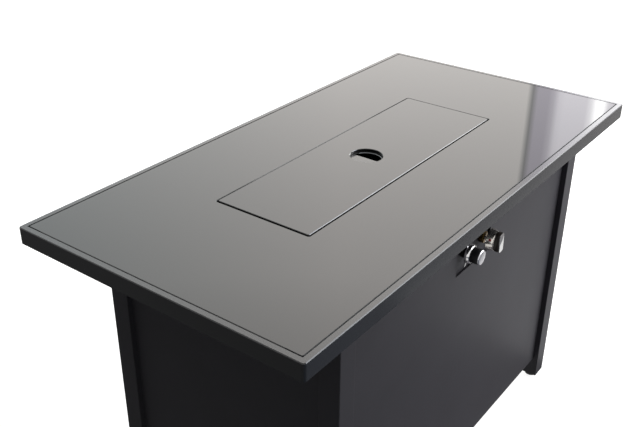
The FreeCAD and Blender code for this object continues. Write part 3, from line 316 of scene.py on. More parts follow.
@dataclass(frozen=True)
class PowderCoat(GrainedFinish):
    """Polyester powder sprayed on steel and baked.

    It gives the eye a charcoal that is matt and even, with a fine orange peel and broad
    clouds of a slightly lighter tone.
    """

    title: str = "powder_coated_steel"
    ground: str = "#464549"
    marks: str = "#4d4c51"
    grain_mm: float = 2.2  # real peel is about 1 mm apart; drawn coarser so that it shows
    detail: float = 2.0
    depth_mm: float = 0.02
    roughness: float = 0.5
    spread: tuple[float, float] = (0.05, 0.05)
    gloss: float = 0.16
    cloud_mm: float = 90.0

    def blend(self, tree: bpy.types.NodeTree, place: bpy.types.NodeSocket,
              grain: bpy.types.NodeSocket) -> bpy.types.NodeSocket:
        """Lets the broad clouds mix the tones in place of the peel.

        Args:
            tree: the material's tree.
            place: the object's own coordinates.
            grain: the peel.

        Returns:
            The clouds' strength at each point.
        """
        cloud = add_node(tree, "TexNoise", {"Scale": per_metre(self.cloud_mm), "Detail": 3.0},
                         {"Vector": place})
        return cloud.outputs["Fac"]


@dataclass(frozen=True)
class FramePaint(GrainedFinish):
    """Black enamel brushed on the hidden steelwork.

    It gives the eye a satin black under a thin film of dust.
    """

    title: str = "black_enamelled_steel"
    ground: str = "#2c2c2e"
    marks: str = "#3a3936"
    grain_mm: float = 14.0
    detail: float = 6.0
    roughness: float = 0.38
    spread: tuple[float, float] = (0.0, 0.2)


@dataclass(frozen=True)
class TableGlass(Finish):
    """Tempered float glass, enamelled dark grey on its back.

    It gives the eye a deep mirror with the slow waves of the tempering rollers. The
    arrises round the lid are polished and flash, and the outer ones are seamed and dull.
    """

    title: str = "back_enamelled_tempered_glass"
    face: str = "#252526"
    ground_edge: str = "#27292a"
    roughness: float = 0.012
    edge_roughness: float = 0.08
    seamed_roughness: float = 0.75
    seamed_beyond: float = 240.0 * MM
    arris_rise: float = math.sqrt(0.5)
    rise_margin: float = 0.2
    wave_mm: float = 260.0
    wave_stretch: float = 2.5
    wave_depth_mm: float = 0.05

    def shade(self, tree: bpy.types.NodeTree, place: bpy.types.NodeSocket) -> bpy.types.Node:
        """Adds the glass's nodes.

        Args:
            tree: the material's tree.
            place: the object's own coordinates.

        Returns:
            The shader.
        """
        normal = add_node(tree, "NewGeometry").outputs["True Normal"]
        upward = add_node(tree, "SeparateXYZ", links={0: normal}).outputs["Z"]
        arris = add_node(tree, "Math", {"operation": "COMPARE", 1: self.arris_rise,
                                        2: self.rise_margin}, {0: upward})
        colour = add_node(tree, "Mix", {"data_type": "RGBA", 6: linear(self.face),
                                        7: linear(self.ground_edge)}, {0: arris.outputs[0]})
        across = add_node(tree, "SeparateXYZ", links={0: place}).outputs["Y"]
        apart = add_node(tree, "Math", {"operation": "ABSOLUTE"}, {0: across})
        outer = add_node(tree, "Math", {"operation": "GREATER_THAN", 1: self.seamed_beyond},
                         {0: apart.outputs[0]})
        edge = add_node(tree, "MapRange", {"To Min": self.edge_roughness,
                                           "To Max": self.seamed_roughness},
                        {"Value": outer.outputs[0]})
        rough = add_node(tree, "Mix", {2: self.roughness},
                         {0: arris.outputs[0], 3: edge.outputs[0]})
        roller = add_node(tree, "Mapping", {"vector_type": "TEXTURE",
                                            "Scale": (1.0, self.wave_stretch, 1.0)},
                          {"Vector": place})
        wave = add_node(tree, "TexNoise", {"Scale": per_metre(self.wave_mm), "Detail": 1.0},
                        {"Vector": roller.outputs[0]})
        bump = add_node(tree, "Bump", {"Distance": self.wave_depth_mm * MM},
                        {"Height": wave.outputs["Fac"]})
        return add_node(tree, "BsdfPrincipled", {"IOR": 1.5},
                        {"Base Color": colour.outputs[2], "Roughness": rough.outputs[0],
                         "Normal": bump.outputs[0]})


@dataclass(frozen=True)
class SmoothPaint(GrainedFinish):
    """Stoved gloss paint on a pressed plate.

    It gives the eye a level dark grey shine, without texture but for specks of dust.
    """

    title: str = "stoved_gloss_paint"
    ground: str = "#39393a"
    marks: str = "#4a4a49"
    grain_mm: float = 3.0  # real specks are under 1 mm wide; drawn coarser so that they show
    roughness: float = 0.12


@dataclass(frozen=True)
class Rubber(GrainedFinish):
    """Cured silicone rubber.

    It gives the eye a soft dull black with a faint pale bloom.
    """

    title: str = "cured_silicone"
    ground: str = "#1f1f20"
    marks: str = "#333334"
    grain_mm: float = 1.6
    detail: float = 5.0
    depth_mm: float = 0.02
    roughness: float = 0.65


@dataclass(frozen=True)
class BrushedMetal(GrainedFinish):
    """Sheet or bar metal that was finished by a belt, a roller or a cutting tool.

    It gives the eye a broad highlight, drawn out across fine parallel scratches.
    """

    title: str = "brushed_stainless_steel"
    ground: str = "#a9a7a3"
    marks: str = "#c6c4bf"
    grain_mm: float = 0.8  # real scratches are under 0.1 mm apart; drawn coarser to show
    depth_mm: float = 0.01
    roughness: float = 0.3
    spread: tuple[float, float] = (0.12, 0.12)
    metallic: float = 1.0
    along: Along = Along.X

    def grain(self, tree: bpy.types.NodeTree,
              place: bpy.types.NodeSocket) -> bpy.types.NodeSocket:
        """Adds the fine pattern, stretched along the scratches.

        Args:
            tree: the material's tree.
            place: the coordinates that it lies on.

        Returns:
            Its strength at each point.
        """
        drawn = add_node(tree, "Mapping", {"Scale": self.along.value}, {"Vector": place})
        return super().grain(tree, drawn.outputs[0])


@dataclass(frozen=True)
class GalvanisedSteel(GrainedFinish):
    """Sheet steel dipped in molten zinc.

    It gives the eye dull crystals, in patches of lighter and darker grey.
    """

    title: str = "galvanised_steel_sheet"
    ground: str = "#8f9496"
    marks: str = "#b9bdbd"
    grain_mm: float = 9.0
    roughness: float = 0.38
    spread: tuple[float, float] = (0.1, 0.15)
    metallic: float = 1.0

    def grain(self, tree: bpy.types.NodeTree,
              place: bpy.types.NodeSocket) -> bpy.types.NodeSocket:
        """Adds the zinc's crystals.

        Args:
            tree: the material's tree.
            place: the coordinates that they lie on.

        Returns:
            The level of each crystal.
        """
        crystals = add_node(tree, "TexVoronoi", {"Scale": per_metre(self.grain_mm)},
                            {"Vector": place})
        return add_node(tree, "RGBToBW", links={0: crystals.outputs["Color"]}).outputs[0]


@dataclass(frozen=True)
class CastMetal(GrainedFinish):
    """Die-cast aluminium, as it leaves the die.

    It gives the eye a pale grey skin with fine pits.
    """

    title: str = "die_cast_aluminium"
    ground: str = "#8e8e8c"
    marks: str = "#b4b4b1"
    grain_mm: float = 1.1  # real pits are about 0.3 mm apart; drawn coarser so that they show
    detail: float = 5.0
    depth_mm: float = 0.08
    roughness: float = 0.5
    metallic: float = 1.0


@dataclass(frozen=True)
class BrightPlating(GrainedFinish):
    """Chromium over polished metal.

    It gives the eye a near mirror with a trace of the haze that handling leaves.
    """

    title: str = "chromium_plating"
    ground: str = "#dcdcde"
    marks: str = "#cfcdca"
    grain_mm: float = 7.0
    roughness: float = 0.05
    spread: tuple[float, float] = (0.0, 0.07)
    metallic: float = 1.0


@dataclass(frozen=True)
class MouldedPlastic(GrainedFinish):
    """Plastic moulded in a spark-eroded tool.

    It gives the eye an even black with a low, finely grained sheen.
    """

    title: str = "moulded_abs"
    ground: str = "#101011"
    marks: str = "#161617"
    grain_mm: float = 0.9  # real grain is under 0.1 mm wide; drawn coarser so that it shows
    detail: float = 2.0
    depth_mm: float = 0.015
    roughness: float = 0.42
    gloss: float = 0.35


@dataclass(frozen=True)
class GlazedCeramic(GrainedFinish):
    """Alumina under a clear glaze.

    It gives the eye a glossy off-white with faint iron specks.
    """

    title: str = "glazed_alumina"
    ground: str = "#e6e1d4"
    marks: str = "#c9c2b0"
    grain_mm: float = 1.2
    detail: float = 6.0
    roughness: float = 0.3
    coat: float = 0.6
    coat_roughness: float = 0.05


FINISHES: dict[Slot, Finish] = {
    Slot.POWDER_COAT: PowderCoat(),
    Slot.FRAME_PAINT: FramePaint(),
    Slot.TABLE_GLASS: TableGlass(),
    Slot.LID_PLATE_PAINT: SmoothPaint(),
    Slot.SILICONE: Rubber(),
    Slot.STAINLESS_STEEL: BrushedMetal(),
    Slot.GALVANISED_STEEL: GalvanisedSteel(),
    # Tool marks on a dulled yellow-brown.
    Slot.BRASS: BrushedMetal(title="machined_brass", ground="#5f4c2b", marks="#8a7142",
                             along=Along.Y, grain_mm=0.5, roughness=0.28),
    Slot.CAST_ALUMINIUM: CastMetal(),
    # A cool pale grey that is duller than the stainless steel.
    Slot.ZINC_PLATE: BrushedMetal(title="zinc_plated_steel", ground="#9fa2a4", marks="#bfc2c4",
                                  along=Along.Z, grain_mm=1.2, roughness=0.34),
    Slot.CERAMIC: GlazedCeramic(),
    Slot.BLACK_PLASTIC: MouldedPlastic(),
    # Draw marks along a bright can.
    Slot.BATTERY_CASE: BrushedMetal(title="drawn_battery_can", ground="#b0b2b5",
                                    marks="#c8cacc", along=Along.Y, grain_mm=0.6,
                                    roughness=0.25),
    Slot.BRIGHT_CHROME: BrightPlating(),
}


class Piece:
    """A new mesh piece in the making: a bmesh that becomes a finished object."""

    def __init__(self, name: str) -> None:
        """Starts an empty piece under its name."""
        self.name = name
        self.mesh = bmesh.new()

    def everything(self) -> list:
        """Its faces, edges and vertices in one list."""
        return self.mesh.faces[:] + self.mesh.edges[:] + self.mesh.verts[:]

    def draw(self, points: Profile, closed: bool = False) -> list:
        """Draws a profile beside the Z axis.

        Args:
            points: (radius, height) of each corner, in order.
            closed: whether the last corner is joined to the first.

        Returns:
            The new vertices and edges.
        """
        corners = [self.mesh.verts.new((radius, 0.0, height)) for radius, height in points]
        ends = corners[1:] + (corners[:1] if closed else [])
        return corners + [self.mesh.edges.new(pair) for pair in zip(corners, ends)]

    def sweep(self, drawn: list, steps: int, angle: float = math.tau, pitch: float = 0.0) -> None:
        """Spins what is drawn about Z, so that it leaves a skin or a body behind it.

        Args:
            drawn: its vertices, edges and faces.
            steps: how many steps the sweep has.
            angle: how far it goes, in radians.
            pitch: how far it rises in a full turn.
        """
        lift = pitch * angle / math.tau / steps
        bmesh.ops.spin(self.mesh, geom=drawn, axis=(0, 0, 1), cent=(0, 0, 0), steps=steps,
                       angle=angle, dvec=(0, 0, lift), use_merge=angle == math.tau)

    def turn(self, profile: Profile, steps: int = 64) -> None:
        """Spins a profile into a full round, as on a lathe.

        Args:
            profile: (radius, height) of each corner, in order.
            steps: how many steps make the full turn.
        """
        self.sweep(self.draw(profile), steps)
        self.mend()

    def mend(self) -> None:
        """Merges doubles and turns every face outwards."""
        bmesh.ops.remove_doubles(self.mesh, verts=self.mesh.verts, dist=1e-7)
        bmesh.ops.recalc_face_normals(self.mesh, faces=self.mesh.faces)

    def soften(self, width: float, angle: float = 30.0, segments: int = 2) -> None:
        """Rounds the sharp edges.

        Args:
            width: how far from the edge the rounding starts.
            angle: edges sharper than this, in degrees, are rounded.
            segments: how many strips make the rounding.
        """
        limit = math.radians(angle)
        sharp = [edge for edge in self.mesh.edges
                 if edge.is_manifold and edge.calc_face_angle(0.0) > limit]
        bmesh.ops.bevel(self.mesh, geom=sharp, offset=width, offset_type="OFFSET",
                        affect="EDGES", segments=segments, profile=0.5, material=-1,
                        clamp_overlap=True)

    def move(self, matrix: Matrix) -> None:
        """Moves the whole piece."""
        bmesh.ops.transform(self.mesh, matrix=matrix, verts=self.mesh.verts)

    def appear(self, material: bpy.types.Material) -> bpy.types.Object:
        """Turns the bmesh into an object in the scene.

        Args:
            material: its only material.

        Returns:
            The object.
        """
        data = bpy.data.meshes.new(self.name)
        self.mesh.to_mesh(data)
        self.mesh.free()
        data.materials.append(material)
        return add_object(self.name, data)

    def stage(self, material: bpy.types.Material) -> bpy.types.Object:
        """Turns the piece into a studio object, which rides on no body and keeps flat shading.

        Args:
            material: its material.

        Returns:
            The object.
        """
        made = self.appear(material)
        return made

    def finish(self, body: Body, slot: Slot, special: Optional[Finish] = None,
               replaces: Iterable[str] = (), smooth_angle: float = 35.0) -> bpy.types.Object:
        """Makes the piece an object that rides on a body.

        Args:
            body: the body that it rides on.
            slot: the record's slot, whose finish it gets unless a special one is given.
            special: a finish other than the slot's own.
            replaces: CAD nodes that it stands for.
            smooth_angle: edges sharper than this, in degrees, stay sharp.

        Returns:
            The object.
        """
        made = self.appear((special or FINISHES[slot]).material())
        made.data.shade_smooth()
        made.data.set_sharp_from_angle(angle=math.radians(smooth_angle))
        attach(made, body.value)
        if replaces:
            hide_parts(*replaces)
        return made


@dataclass
class CadFinishes:
    """Gives every carried-over CAD node the finish of its slot, or a special one.

    The rim's coat flowed out smoother and darker than the panels', so that the rim mirrors
    the room in a soft band.
    """

    special: dict[str, Finish] = field(default_factory=lambda: {
        "top_rim": PowderCoat(title="satin_powder_coated_rim", ground="#2f3033",
                              marks="#36373b", roughness=0.18, spread=(0.008, 0.008),
                              gloss=0.55, depth_mm=0.002),
    })

    def build(self) -> list[bpy.types.Object]:
        """Assigns the finishes by the record's list of subparts.

        Returns:
            The nodes.
        """
        slots = {part["node"]: Slot(part["material_slot"])
                 for part in frame["record"]["subparts"]}
        for name, node in frame["nodes"].items():
            chosen = self.special.get(name, FINISHES[slots[name]])
            node.data.materials.clear()
            node.data.materials.append(chosen.material())
        return list(frame["nodes"].values())


@dataclass
class PlateFitting:
    """A fitting on the control plate, which lies behind the window in the front panel.

    It is modelled with its axis on Z, and its heights are measured from the plate.
    """

    side: Side = Side.RIGHT
    plate: float = field(default_factory=lambda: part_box("control_plate")[0].y)
    spacing: float = 66.0 * MM
    height: float = 536.5 * MM

    def spot(self) -> Matrix:
        """Place of the fitting, with its axis pointing out of the table's front."""
        at = (self.side.value * self.spacing / 2, self.plate, self.height)
        return Matrix.Translation(at) @ Matrix.Rotation(QUARTER_TURN, 4, "X")


@dataclass
class GasKnob(PlateFitting):
    """Control knob: a plated skirt, a dark grip across it with a plated face, and its marks."""

    radius: float = 20.8 * MM
    taper: float = 2.9 * MM
    swell: float = 0.7 * MM
    back: float = 18.0 * MM
    skirt: float = 13.0 * MM
    skirt_rings: int = 8
    wall: float = 2.5 * MM
    hollow: float = 3.0 * MM
    disc: float = 14.6 * MM
    disc_rise: float = 0.3 * MM
    groove: float = 0.8 * MM
    front: float = 40.6 * MM
    turned: float = 4.0
    grip_width: float = 14.6 * MM
    grip_reach: float = 18.4 * MM
    grip_sunk: float = 0.5 * MM
    face_plate: float = 1.6 * MM
    mark: Triple = (1.6 * MM, 4.6 * MM, 4.8 * MM)
    mark_angle: float = 155.0
    mark_height: float = 7.4 * MM
    mark_sunk: float = 0.2 * MM
    screw_radius: float = 1.3 * MM
    screw_length: float = 1.25 * MM
    screw_proud: float = 0.25 * MM
    socket_radius: float = 0.7 * MM
    socket_depth: float = 0.75 * MM
    screw_angle: float = 176.0
    screw_height: float = 2.6 * MM

    def build(self) -> list[bpy.types.Object]:
        """Builds the knob's pieces.

        Returns:
            The pieces.
        """
        return [self.skirt_piece(), self.grip(), self.grip_face(), self.index_mark(),
                self.grub_screw()]

    def skirt_radius(self, height: float) -> float:
        """Radius of the skirt's side, which tapers and swells towards the front."""
        share = (height - self.back) / self.skirt
        return self.radius - self.taper * share - self.swell * share ** 2

    def skirt_piece(self) -> bpy.types.Object:
        """Tapered plated skirt with a groove round the disc under its grip.

        Returns:
            The piece.
        """
        back, front = self.back, self.back + self.skirt
        inside = self.radius - self.wall
        heights = [back + self.skirt * ring / self.skirt_rings
                   for ring in range(self.skirt_rings + 1)]
        side = [(self.skirt_radius(height), height) for height in heights]
        piece = Piece("knob_skirt")
        piece.turn([(0.0, back + self.hollow), (inside, back + self.hollow), (inside, back)]
                   + side
                   + [(self.disc + self.groove, front),
                      (self.disc + self.groove, front - self.groove),
                      (self.disc, front - self.groove), (self.disc, front + self.disc_rise),
                      (0.0, front + self.disc_rise)], steps=96)
        piece.soften(0.4 * MM)
        piece.move(self.spot())
        # A warm satin, in which what it mirrors is blurred.
        satin = BrightPlating(title="satin_chromium_skirt", ground="#d6d2cc", marks="#cbc6bf",
                              roughness=0.15)
        return piece.finish(Body.KNOB, Slot.BRIGHT_CHROME, satin, replaces=["control_knob"])

    def bar(self, name: str, start: float, end: float, ease: float) -> Piece:
        """Slice of the grip: a disc with a flat milled on either side.

        Args:
            name: the piece's name.
            start: distance from the plate to its back.
            end: distance from the plate to its front.
            ease: rounding of its edges.

        Returns:
            The piece, in its place on the knob.
        """
        piece = Piece(name)
        bmesh.ops.create_cone(piece.mesh, cap_ends=True, segments=96, radius1=self.grip_reach,
                              radius2=self.grip_reach, depth=end - start)
        for sign in (-1, 1):
            cut = bmesh.ops.bisect_plane(piece.mesh, geom=piece.everything(),
                                         plane_co=(sign * self.grip_width / 2, 0, 0),
                                         plane_no=(sign, 0, 0), clear_outer=True)
            rims = [item for item in cut["geom_cut"] if isinstance(item, bmesh.types.BMEdge)]
            bmesh.ops.holes_fill(piece.mesh, edges=rims)
        piece.mend()
        piece.move(Matrix.Translation((0, 0, (start + end) / 2)))
        piece.soften(ease)
        piece.move(self.spot() @ Matrix.Rotation(math.radians(self.turned), 4, "Z"))
        return piece

    def grip(self) -> bpy.types.Object:
        """Dark moulded bar across the skirt.

        Returns:
            The piece.
        """
        # A brown-black with a little more shine than the button's sleeve.
        phenolic = MouldedPlastic(title="moulded_phenolic", ground="#2b2521",
                                  marks="#332c27", roughness=0.35)
        start = self.back + self.skirt - self.grip_sunk
        body = self.bar("knob_grip", start, self.front - self.face_plate, 0.3 * MM)
        return body.finish(Body.KNOB, Slot.BLACK_PLASTIC, phenolic)

    def grip_face(self) -> bpy.types.Object:
        """Plated face on the front of the bar."""
        face = self.bar("knob_grip_face", self.front - self.face_plate, self.front, 0.5 * MM)
        return face.finish(Body.KNOB, Slot.BRIGHT_CHROME)

    def on_skirt(self, angle: float, height: float, sunk: float = 0.0) -> Matrix:
        """Place on the skirt's side, with X pointing out of it.

        Args:
            angle: degrees round the knob's axis, anticlockwise seen from the front, from +X.
            height: distance from the back of the skirt.
            sunk: how deep below the side the place lies.

        Returns:
            The place, in the table's frame.
        """
        out = self.skirt_radius(self.back + height) - sunk
        lean = -math.atan2(self.taper + self.swell, self.skirt)
        return (self.spot() @ Matrix.Rotation(math.radians(angle), 4, "Z")
                @ Matrix.Translation((out, 0, self.back + height))
                @ Matrix.Rotation(lean, 4, "Y"))

    def index_mark(self) -> bpy.types.Object:
        """Red enamel bead in the skirt's side that shows where the knob points.

        Returns:
            The piece.
        """
        piece = Piece("knob_index_mark")
        bmesh.ops.create_cube(piece.mesh, size=1.0)
        bmesh.ops.scale(piece.mesh, verts=piece.mesh.verts, vec=self.mark)
        piece.soften(0.5 * MM, segments=3)
        piece.move(self.on_skirt(self.mark_angle, self.mark_height, self.mark_sunk))
        # A small red spot with a soft shine.
        enamel = SmoothPaint(title="red_enamel", ground="#b0252c", marks="#bd3238",
                             roughness=0.3)
        return piece.finish(Body.KNOB, Slot.BRIGHT_CHROME, enamel)

    def grub_screw(self) -> bpy.types.Object:
        """Blackened grub screw in the skirt's side, which clamps the knob on its stem.

        Returns:
            The piece.
        """
        end, socket = self.screw_proud - self.screw_length, self.screw_proud - self.socket_depth
        piece = Piece("knob_grub_screw")
        piece.turn([(0.0, end), (self.screw_radius, end), (self.screw_radius, self.screw_proud),
                    (self.socket_radius, self.screw_proud), (self.socket_radius, socket),
                    (0.0, socket)], steps=24)
        piece.soften(0.15 * MM)
        piece.move(self.on_skirt(self.screw_angle, self.screw_height)
                   @ Matrix.Rotation(QUARTER_TURN, 4, "Y"))
        # A black dot; the oxide hides the steel's own colour, so it is drawn as a plastic.
        oxide = MouldedPlastic(title="blackened_steel", ground="#0d0d0e", marks="#1a1a1a",
                               roughness=0.3)
        return piece.finish(Body.KNOB, Slot.BRIGHT_CHROME, oxide)


@dataclass
class IgniterButton(PlateFitting):
    """Igniter: a plated lock ring round a black button, and the thread of its barrel."""

    side: Side = Side.LEFT
    cap_radius: float = 13.8 * MM
    cap_front: float = 34.0 * MM
    cap_bore: float = 8.1 * MM
    cap_wall: float = 2.0 * MM
    face_gap: float = 0.1 * MM
    face_rise: float = 3.5 * MM
    face_dome: float = 0.45 * MM
    face_shoulder: float = 1.5 * MM
    face_roll: float = 1.4 * MM
    ring_back: float = 11.5 * MM
    ring_radius: float = 17.4 * MM
    ring_height: float = 8.5 * MM
    ring_lip: float = 0.6 * MM
    ring_floor: float = 1.0 * MM
    ring_gap: float = 0.5 * MM
    tab: Triple = (10.0 * MM, 2.8 * MM, 1.5 * MM)
    tab_angles: Triple = (12.0, 120.0, 229.0)
    tab_root: float = 3.0 * MM
    tab_height: float = 1.4 * MM
    barrel_radius: float = 10.0 * MM
    thread_pitch: float = 1.6 * MM
    thread_depth: float = 0.6 * MM
    thread_root: float = 0.1 * MM
    thread_flank: float = 0.42
    thread_steps: int = 36

    def build(self) -> list[bpy.types.Object]:
        """Builds the igniter's pieces.

        Returns:
            The pieces.
        """
        return [self.lock_ring(), self.sleeve(), self.face(), self.barrel_thread()]

    def lock_ring(self) -> bpy.types.Object:
        """Plated ring, domed towards its front, with three spanner tabs.

        Returns:
            The piece.
        """
        r, back, inside = self.ring_radius, self.ring_back, self.barrel_radius
        bore = self.cap_radius + self.ring_gap
        dome = [(bore + (r - bore) * math.cos(angle),
                 back + self.ring_lip + (self.ring_height - self.ring_lip) * math.sin(angle))
                for angle in (math.radians(step) for step in range(0, 91, 10))]
        floor = back + self.ring_floor
        piece = Piece("igniter_lock_ring")
        piece.turn([(inside, back), (r, back)] + dome
                   + [(bore, floor), (inside, floor), (inside, back)], steps=72)
        at = (r + self.tab[0] / 2 - self.tab_root, 0, back + self.tab_height)
        for angle in self.tab_angles:
            tab = bmesh.ops.create_cube(piece.mesh, size=1.0)["verts"]
            bmesh.ops.scale(piece.mesh, verts=tab, vec=self.tab)
            spot = Matrix.Rotation(math.radians(angle), 4, "Z") @ Matrix.Translation(at)
            bmesh.ops.transform(piece.mesh, matrix=spot, verts=tab)
        piece.soften(0.3 * MM)
        piece.move(self.spot())
        return piece.finish(Body.ROOT, Slot.BRIGHT_CHROME, replaces=["igniter_ring"])

    def sleeve(self) -> bpy.types.Object:
        """Black moulded sleeve of the push button, as deep as its solid.

        Returns:
            The piece.
        """
        back = self.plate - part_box("igniter_cap")[1].y
        r, bore, front = self.cap_radius, self.cap_bore, self.cap_front
        inner = front - self.cap_wall
        piece = Piece("igniter_button_sleeve")
        piece.turn([(bore, back), (r, back), (r, front), (0.0, front), (0.0, inner),
                    (bore, inner), (bore, back)], steps=72)
        piece.soften(0.35 * MM)
        piece.move(self.spot())
        return piece.finish(Body.BATTERY_CAP, Slot.BLACK_PLASTIC, replaces=["igniter_cap"])

    def face(self) -> bpy.types.Object:
        """Plated disc on the button, slightly domed, with a rolled edge.

        Returns:
            The piece.
        """
        r, base = self.cap_radius - self.face_gap, self.cap_front
        top = base + self.face_rise
        dome = [(share * (r - self.face_roll), top - self.face_dome * share ** 2)
                for share in (1.0, 0.8, 0.6, 0.4, 0.2, 0.0)]
        piece = Piece("igniter_button_face")
        piece.turn([(0.0, base), (r, base), (r, top - self.face_shoulder)] + dome, steps=72)
        piece.soften(0.5 * MM, angle=40.0, segments=3)
        piece.move(self.spot())
        # A cool satin that spreads the window's light over the whole disc.
        satin = BrightPlating(title="satin_chromium_plating", ground="#d2d1d4",
                              marks="#c4c3c6", roughness=0.22)
        return piece.finish(Body.BATTERY_CAP, Slot.BRIGHT_CHROME, satin,
                            replaces=["igniter_cap_face"])

    def barrel_thread(self) -> bpy.types.Object:
        """Moulded thread on the igniter's barrel, where the lock ring screws on.

        Returns:
            The piece.
        """
        turns = (self.ring_back - 0.3 * MM) / self.thread_pitch - 1
        root, top = self.barrel_radius - self.thread_root, self.barrel_radius + self.thread_depth
        flank = self.thread_pitch * self.thread_flank
        piece = Piece("igniter_barrel_thread")
        ridge = piece.draw([(root, 0.0), (top, flank * 0.7), (top, flank * 1.3),
                            (root, flank * 2)], closed=True)
        piece.sweep(ridge, int(turns * self.thread_steps), turns * math.tau, self.thread_pitch)
        bmesh.ops.holes_fill(piece.mesh, edges=[edge for edge in piece.mesh.edges
                                                if edge.is_boundary])
        piece.mend()
        piece.move(self.spot())
        return piece.finish(Body.ROOT, Slot.BLACK_PLASTIC)


@dataclass
class ValveNut(PlateFitting):
    """Brass hexagon nut on the valve's neck, with its corners eased."""

    across: float = 19.0 * MM
    thickness: float = 9.0 * MM
    ease: float = 0.6 * MM

    def build(self) -> list[bpy.types.Object]:
        """Builds the nut.

        Returns:
            The nut alone.
        """
        corner = self.across / math.sqrt(3)
        piece = Piece("valve_neck_nut")
        bmesh.ops.create_cone(piece.mesh, cap_ends=True, segments=6, radius1=corner,
                              radius2=corner, depth=self.thickness)
        piece.move(Matrix.Translation((0, 0, self.thickness / 2))
                   @ Matrix.Rotation(math.radians(30.0), 4, "Z"))
        piece.soften(self.ease)
        piece.move(self.spot())
        return [piece.finish(Body.ROOT, Slot.BRASS, replaces=["valve_nut"])]


@dataclass
class GlassLid:
    """Glass pane of the lid, and the bare edge of the finger plate under its hole.

    The pane lies a little to the right and to the back in its opening, as a loose lid
    does, so that the gaps on the left and at the front are the wider ones.
    """

    hole_radius: float = 30.0 * MM
    corner: float = 3.0 * MM
    arris: float = 0.9 * MM
    long_side: float = 100.0 * MM
    long_cuts: int = 15
    slack_right: float = 1.8 * MM
    slack_back: float = 1.1 * MM
    opening_radius: float = 28.5 * MM
    opening_start: float = -84.0
    opening_end: float = 62.0
    bead_radius: float = 0.7 * MM

    def build(self) -> list[bpy.types.Object]:
        """Builds the pane and the edge.

        Returns:
            The pieces.
        """
        return [self.pane(), self.plate_edge()]

    def is_arris(self, edge: bmesh.types.BMEdge) -> bool:
        """Tells whether an edge of the square-cut pane gets an arris.

        Args:
            edge: the edge.

        Returns:
            Whether it is level and right-angled.
        """
        first, second = (vertex.co.z for vertex in edge.verts)
        level = math.isclose(first, second, abs_tol=0.001 * MM)
        return (level and edge.is_manifold
                and math.isclose(edge.calc_face_angle(0.0), QUARTER_TURN, abs_tol=0.1))

    def pane(self) -> bpy.types.Object:
        """Pane with rounded corners, a round hole and bevelled arrises.

        Returns:
            The piece.
        """
        low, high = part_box("lid")
        size, centre = high - low, (low + high) / 2
        piece = Piece("lid_pane")
        mesh = piece.mesh
        sheet = bmesh.ops.create_grid(mesh, x_segments=1, y_segments=1, size=0.5)
        bmesh.ops.scale(mesh, verts=sheet["verts"], vec=(size.x, size.y, 1.0))
        bmesh.ops.bevel(mesh, geom=mesh.verts[:], offset=self.corner, affect="VERTICES",
                        segments=6, profile=0.5, material=-1)
        bmesh.ops.delete(mesh, geom=mesh.faces[:], context="FACES_ONLY")
        sides = [edge for edge in mesh.edges if edge.calc_length() > self.long_side]
        bmesh.ops.subdivide_edges(mesh, edges=sides, cuts=self.long_cuts)
        outline = mesh.edges[:]
        bmesh.ops.create_circle(mesh, radius=self.hole_radius, segments=96)
        hole = [edge for edge in mesh.edges if edge not in set(outline)]
        bmesh.ops.bridge_loops(mesh, edges=outline + hole)
        raised = bmesh.ops.extrude_face_region(mesh, geom=mesh.faces[:])
        top = [item for item in raised["geom"] if isinstance(item, bmesh.types.BMVert)]
        bmesh.ops.translate(mesh, verts=top, vec=(0, 0, size.z))
        piece.mend()
        bmesh.ops.bevel(mesh, geom=[edge for edge in mesh.edges if self.is_arris(edge)],
                        offset=self.arris, affect="EDGES", segments=1, profile=0.5,
                        material=-1, clamp_overlap=True)
        piece.move(Matrix.Translation((centre.x + self.slack_right,
                                       centre.y + self.slack_back, low.z)))
        return piece.finish(Body.LID, Slot.TABLE_GLASS, replaces=["lid"], smooth_angle=30.0)

    def plate_edge(self) -> bpy.types.Object:
        """Bare rolled edge of the steel plate at the finger opening, a thin grey line.

        Returns:
            The piece.
        """
        under_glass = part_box("lid")[0].z - self.bead_radius
        piece = Piece("finger_opening_edge")
        bmesh.ops.create_circle(piece.mesh, cap_ends=True, radius=self.bead_radius, segments=10)
        piece.move(Matrix.Rotation(math.radians(self.opening_start), 4, "Z")
                   @ Matrix.Translation((self.opening_radius, 0, under_glass))
                   @ Matrix.Rotation(QUARTER_TURN, 4, "X"))
        piece.sweep(piece.everything(), 48, math.radians(self.opening_end - self.opening_start))
        bmesh.ops.recalc_face_normals(piece.mesh, faces=piece.mesh.faces)
        # A dull grey line where the paint stops.
        bare = BrushedMetal(title="bare_steel_edge", ground="#7c7f81", marks="#8e9193",
                            along=Along.Z, grain_mm=1.0, roughness=0.4)
        return piece.finish(Body.LID, Slot.LID_PLATE_PAINT, bare)


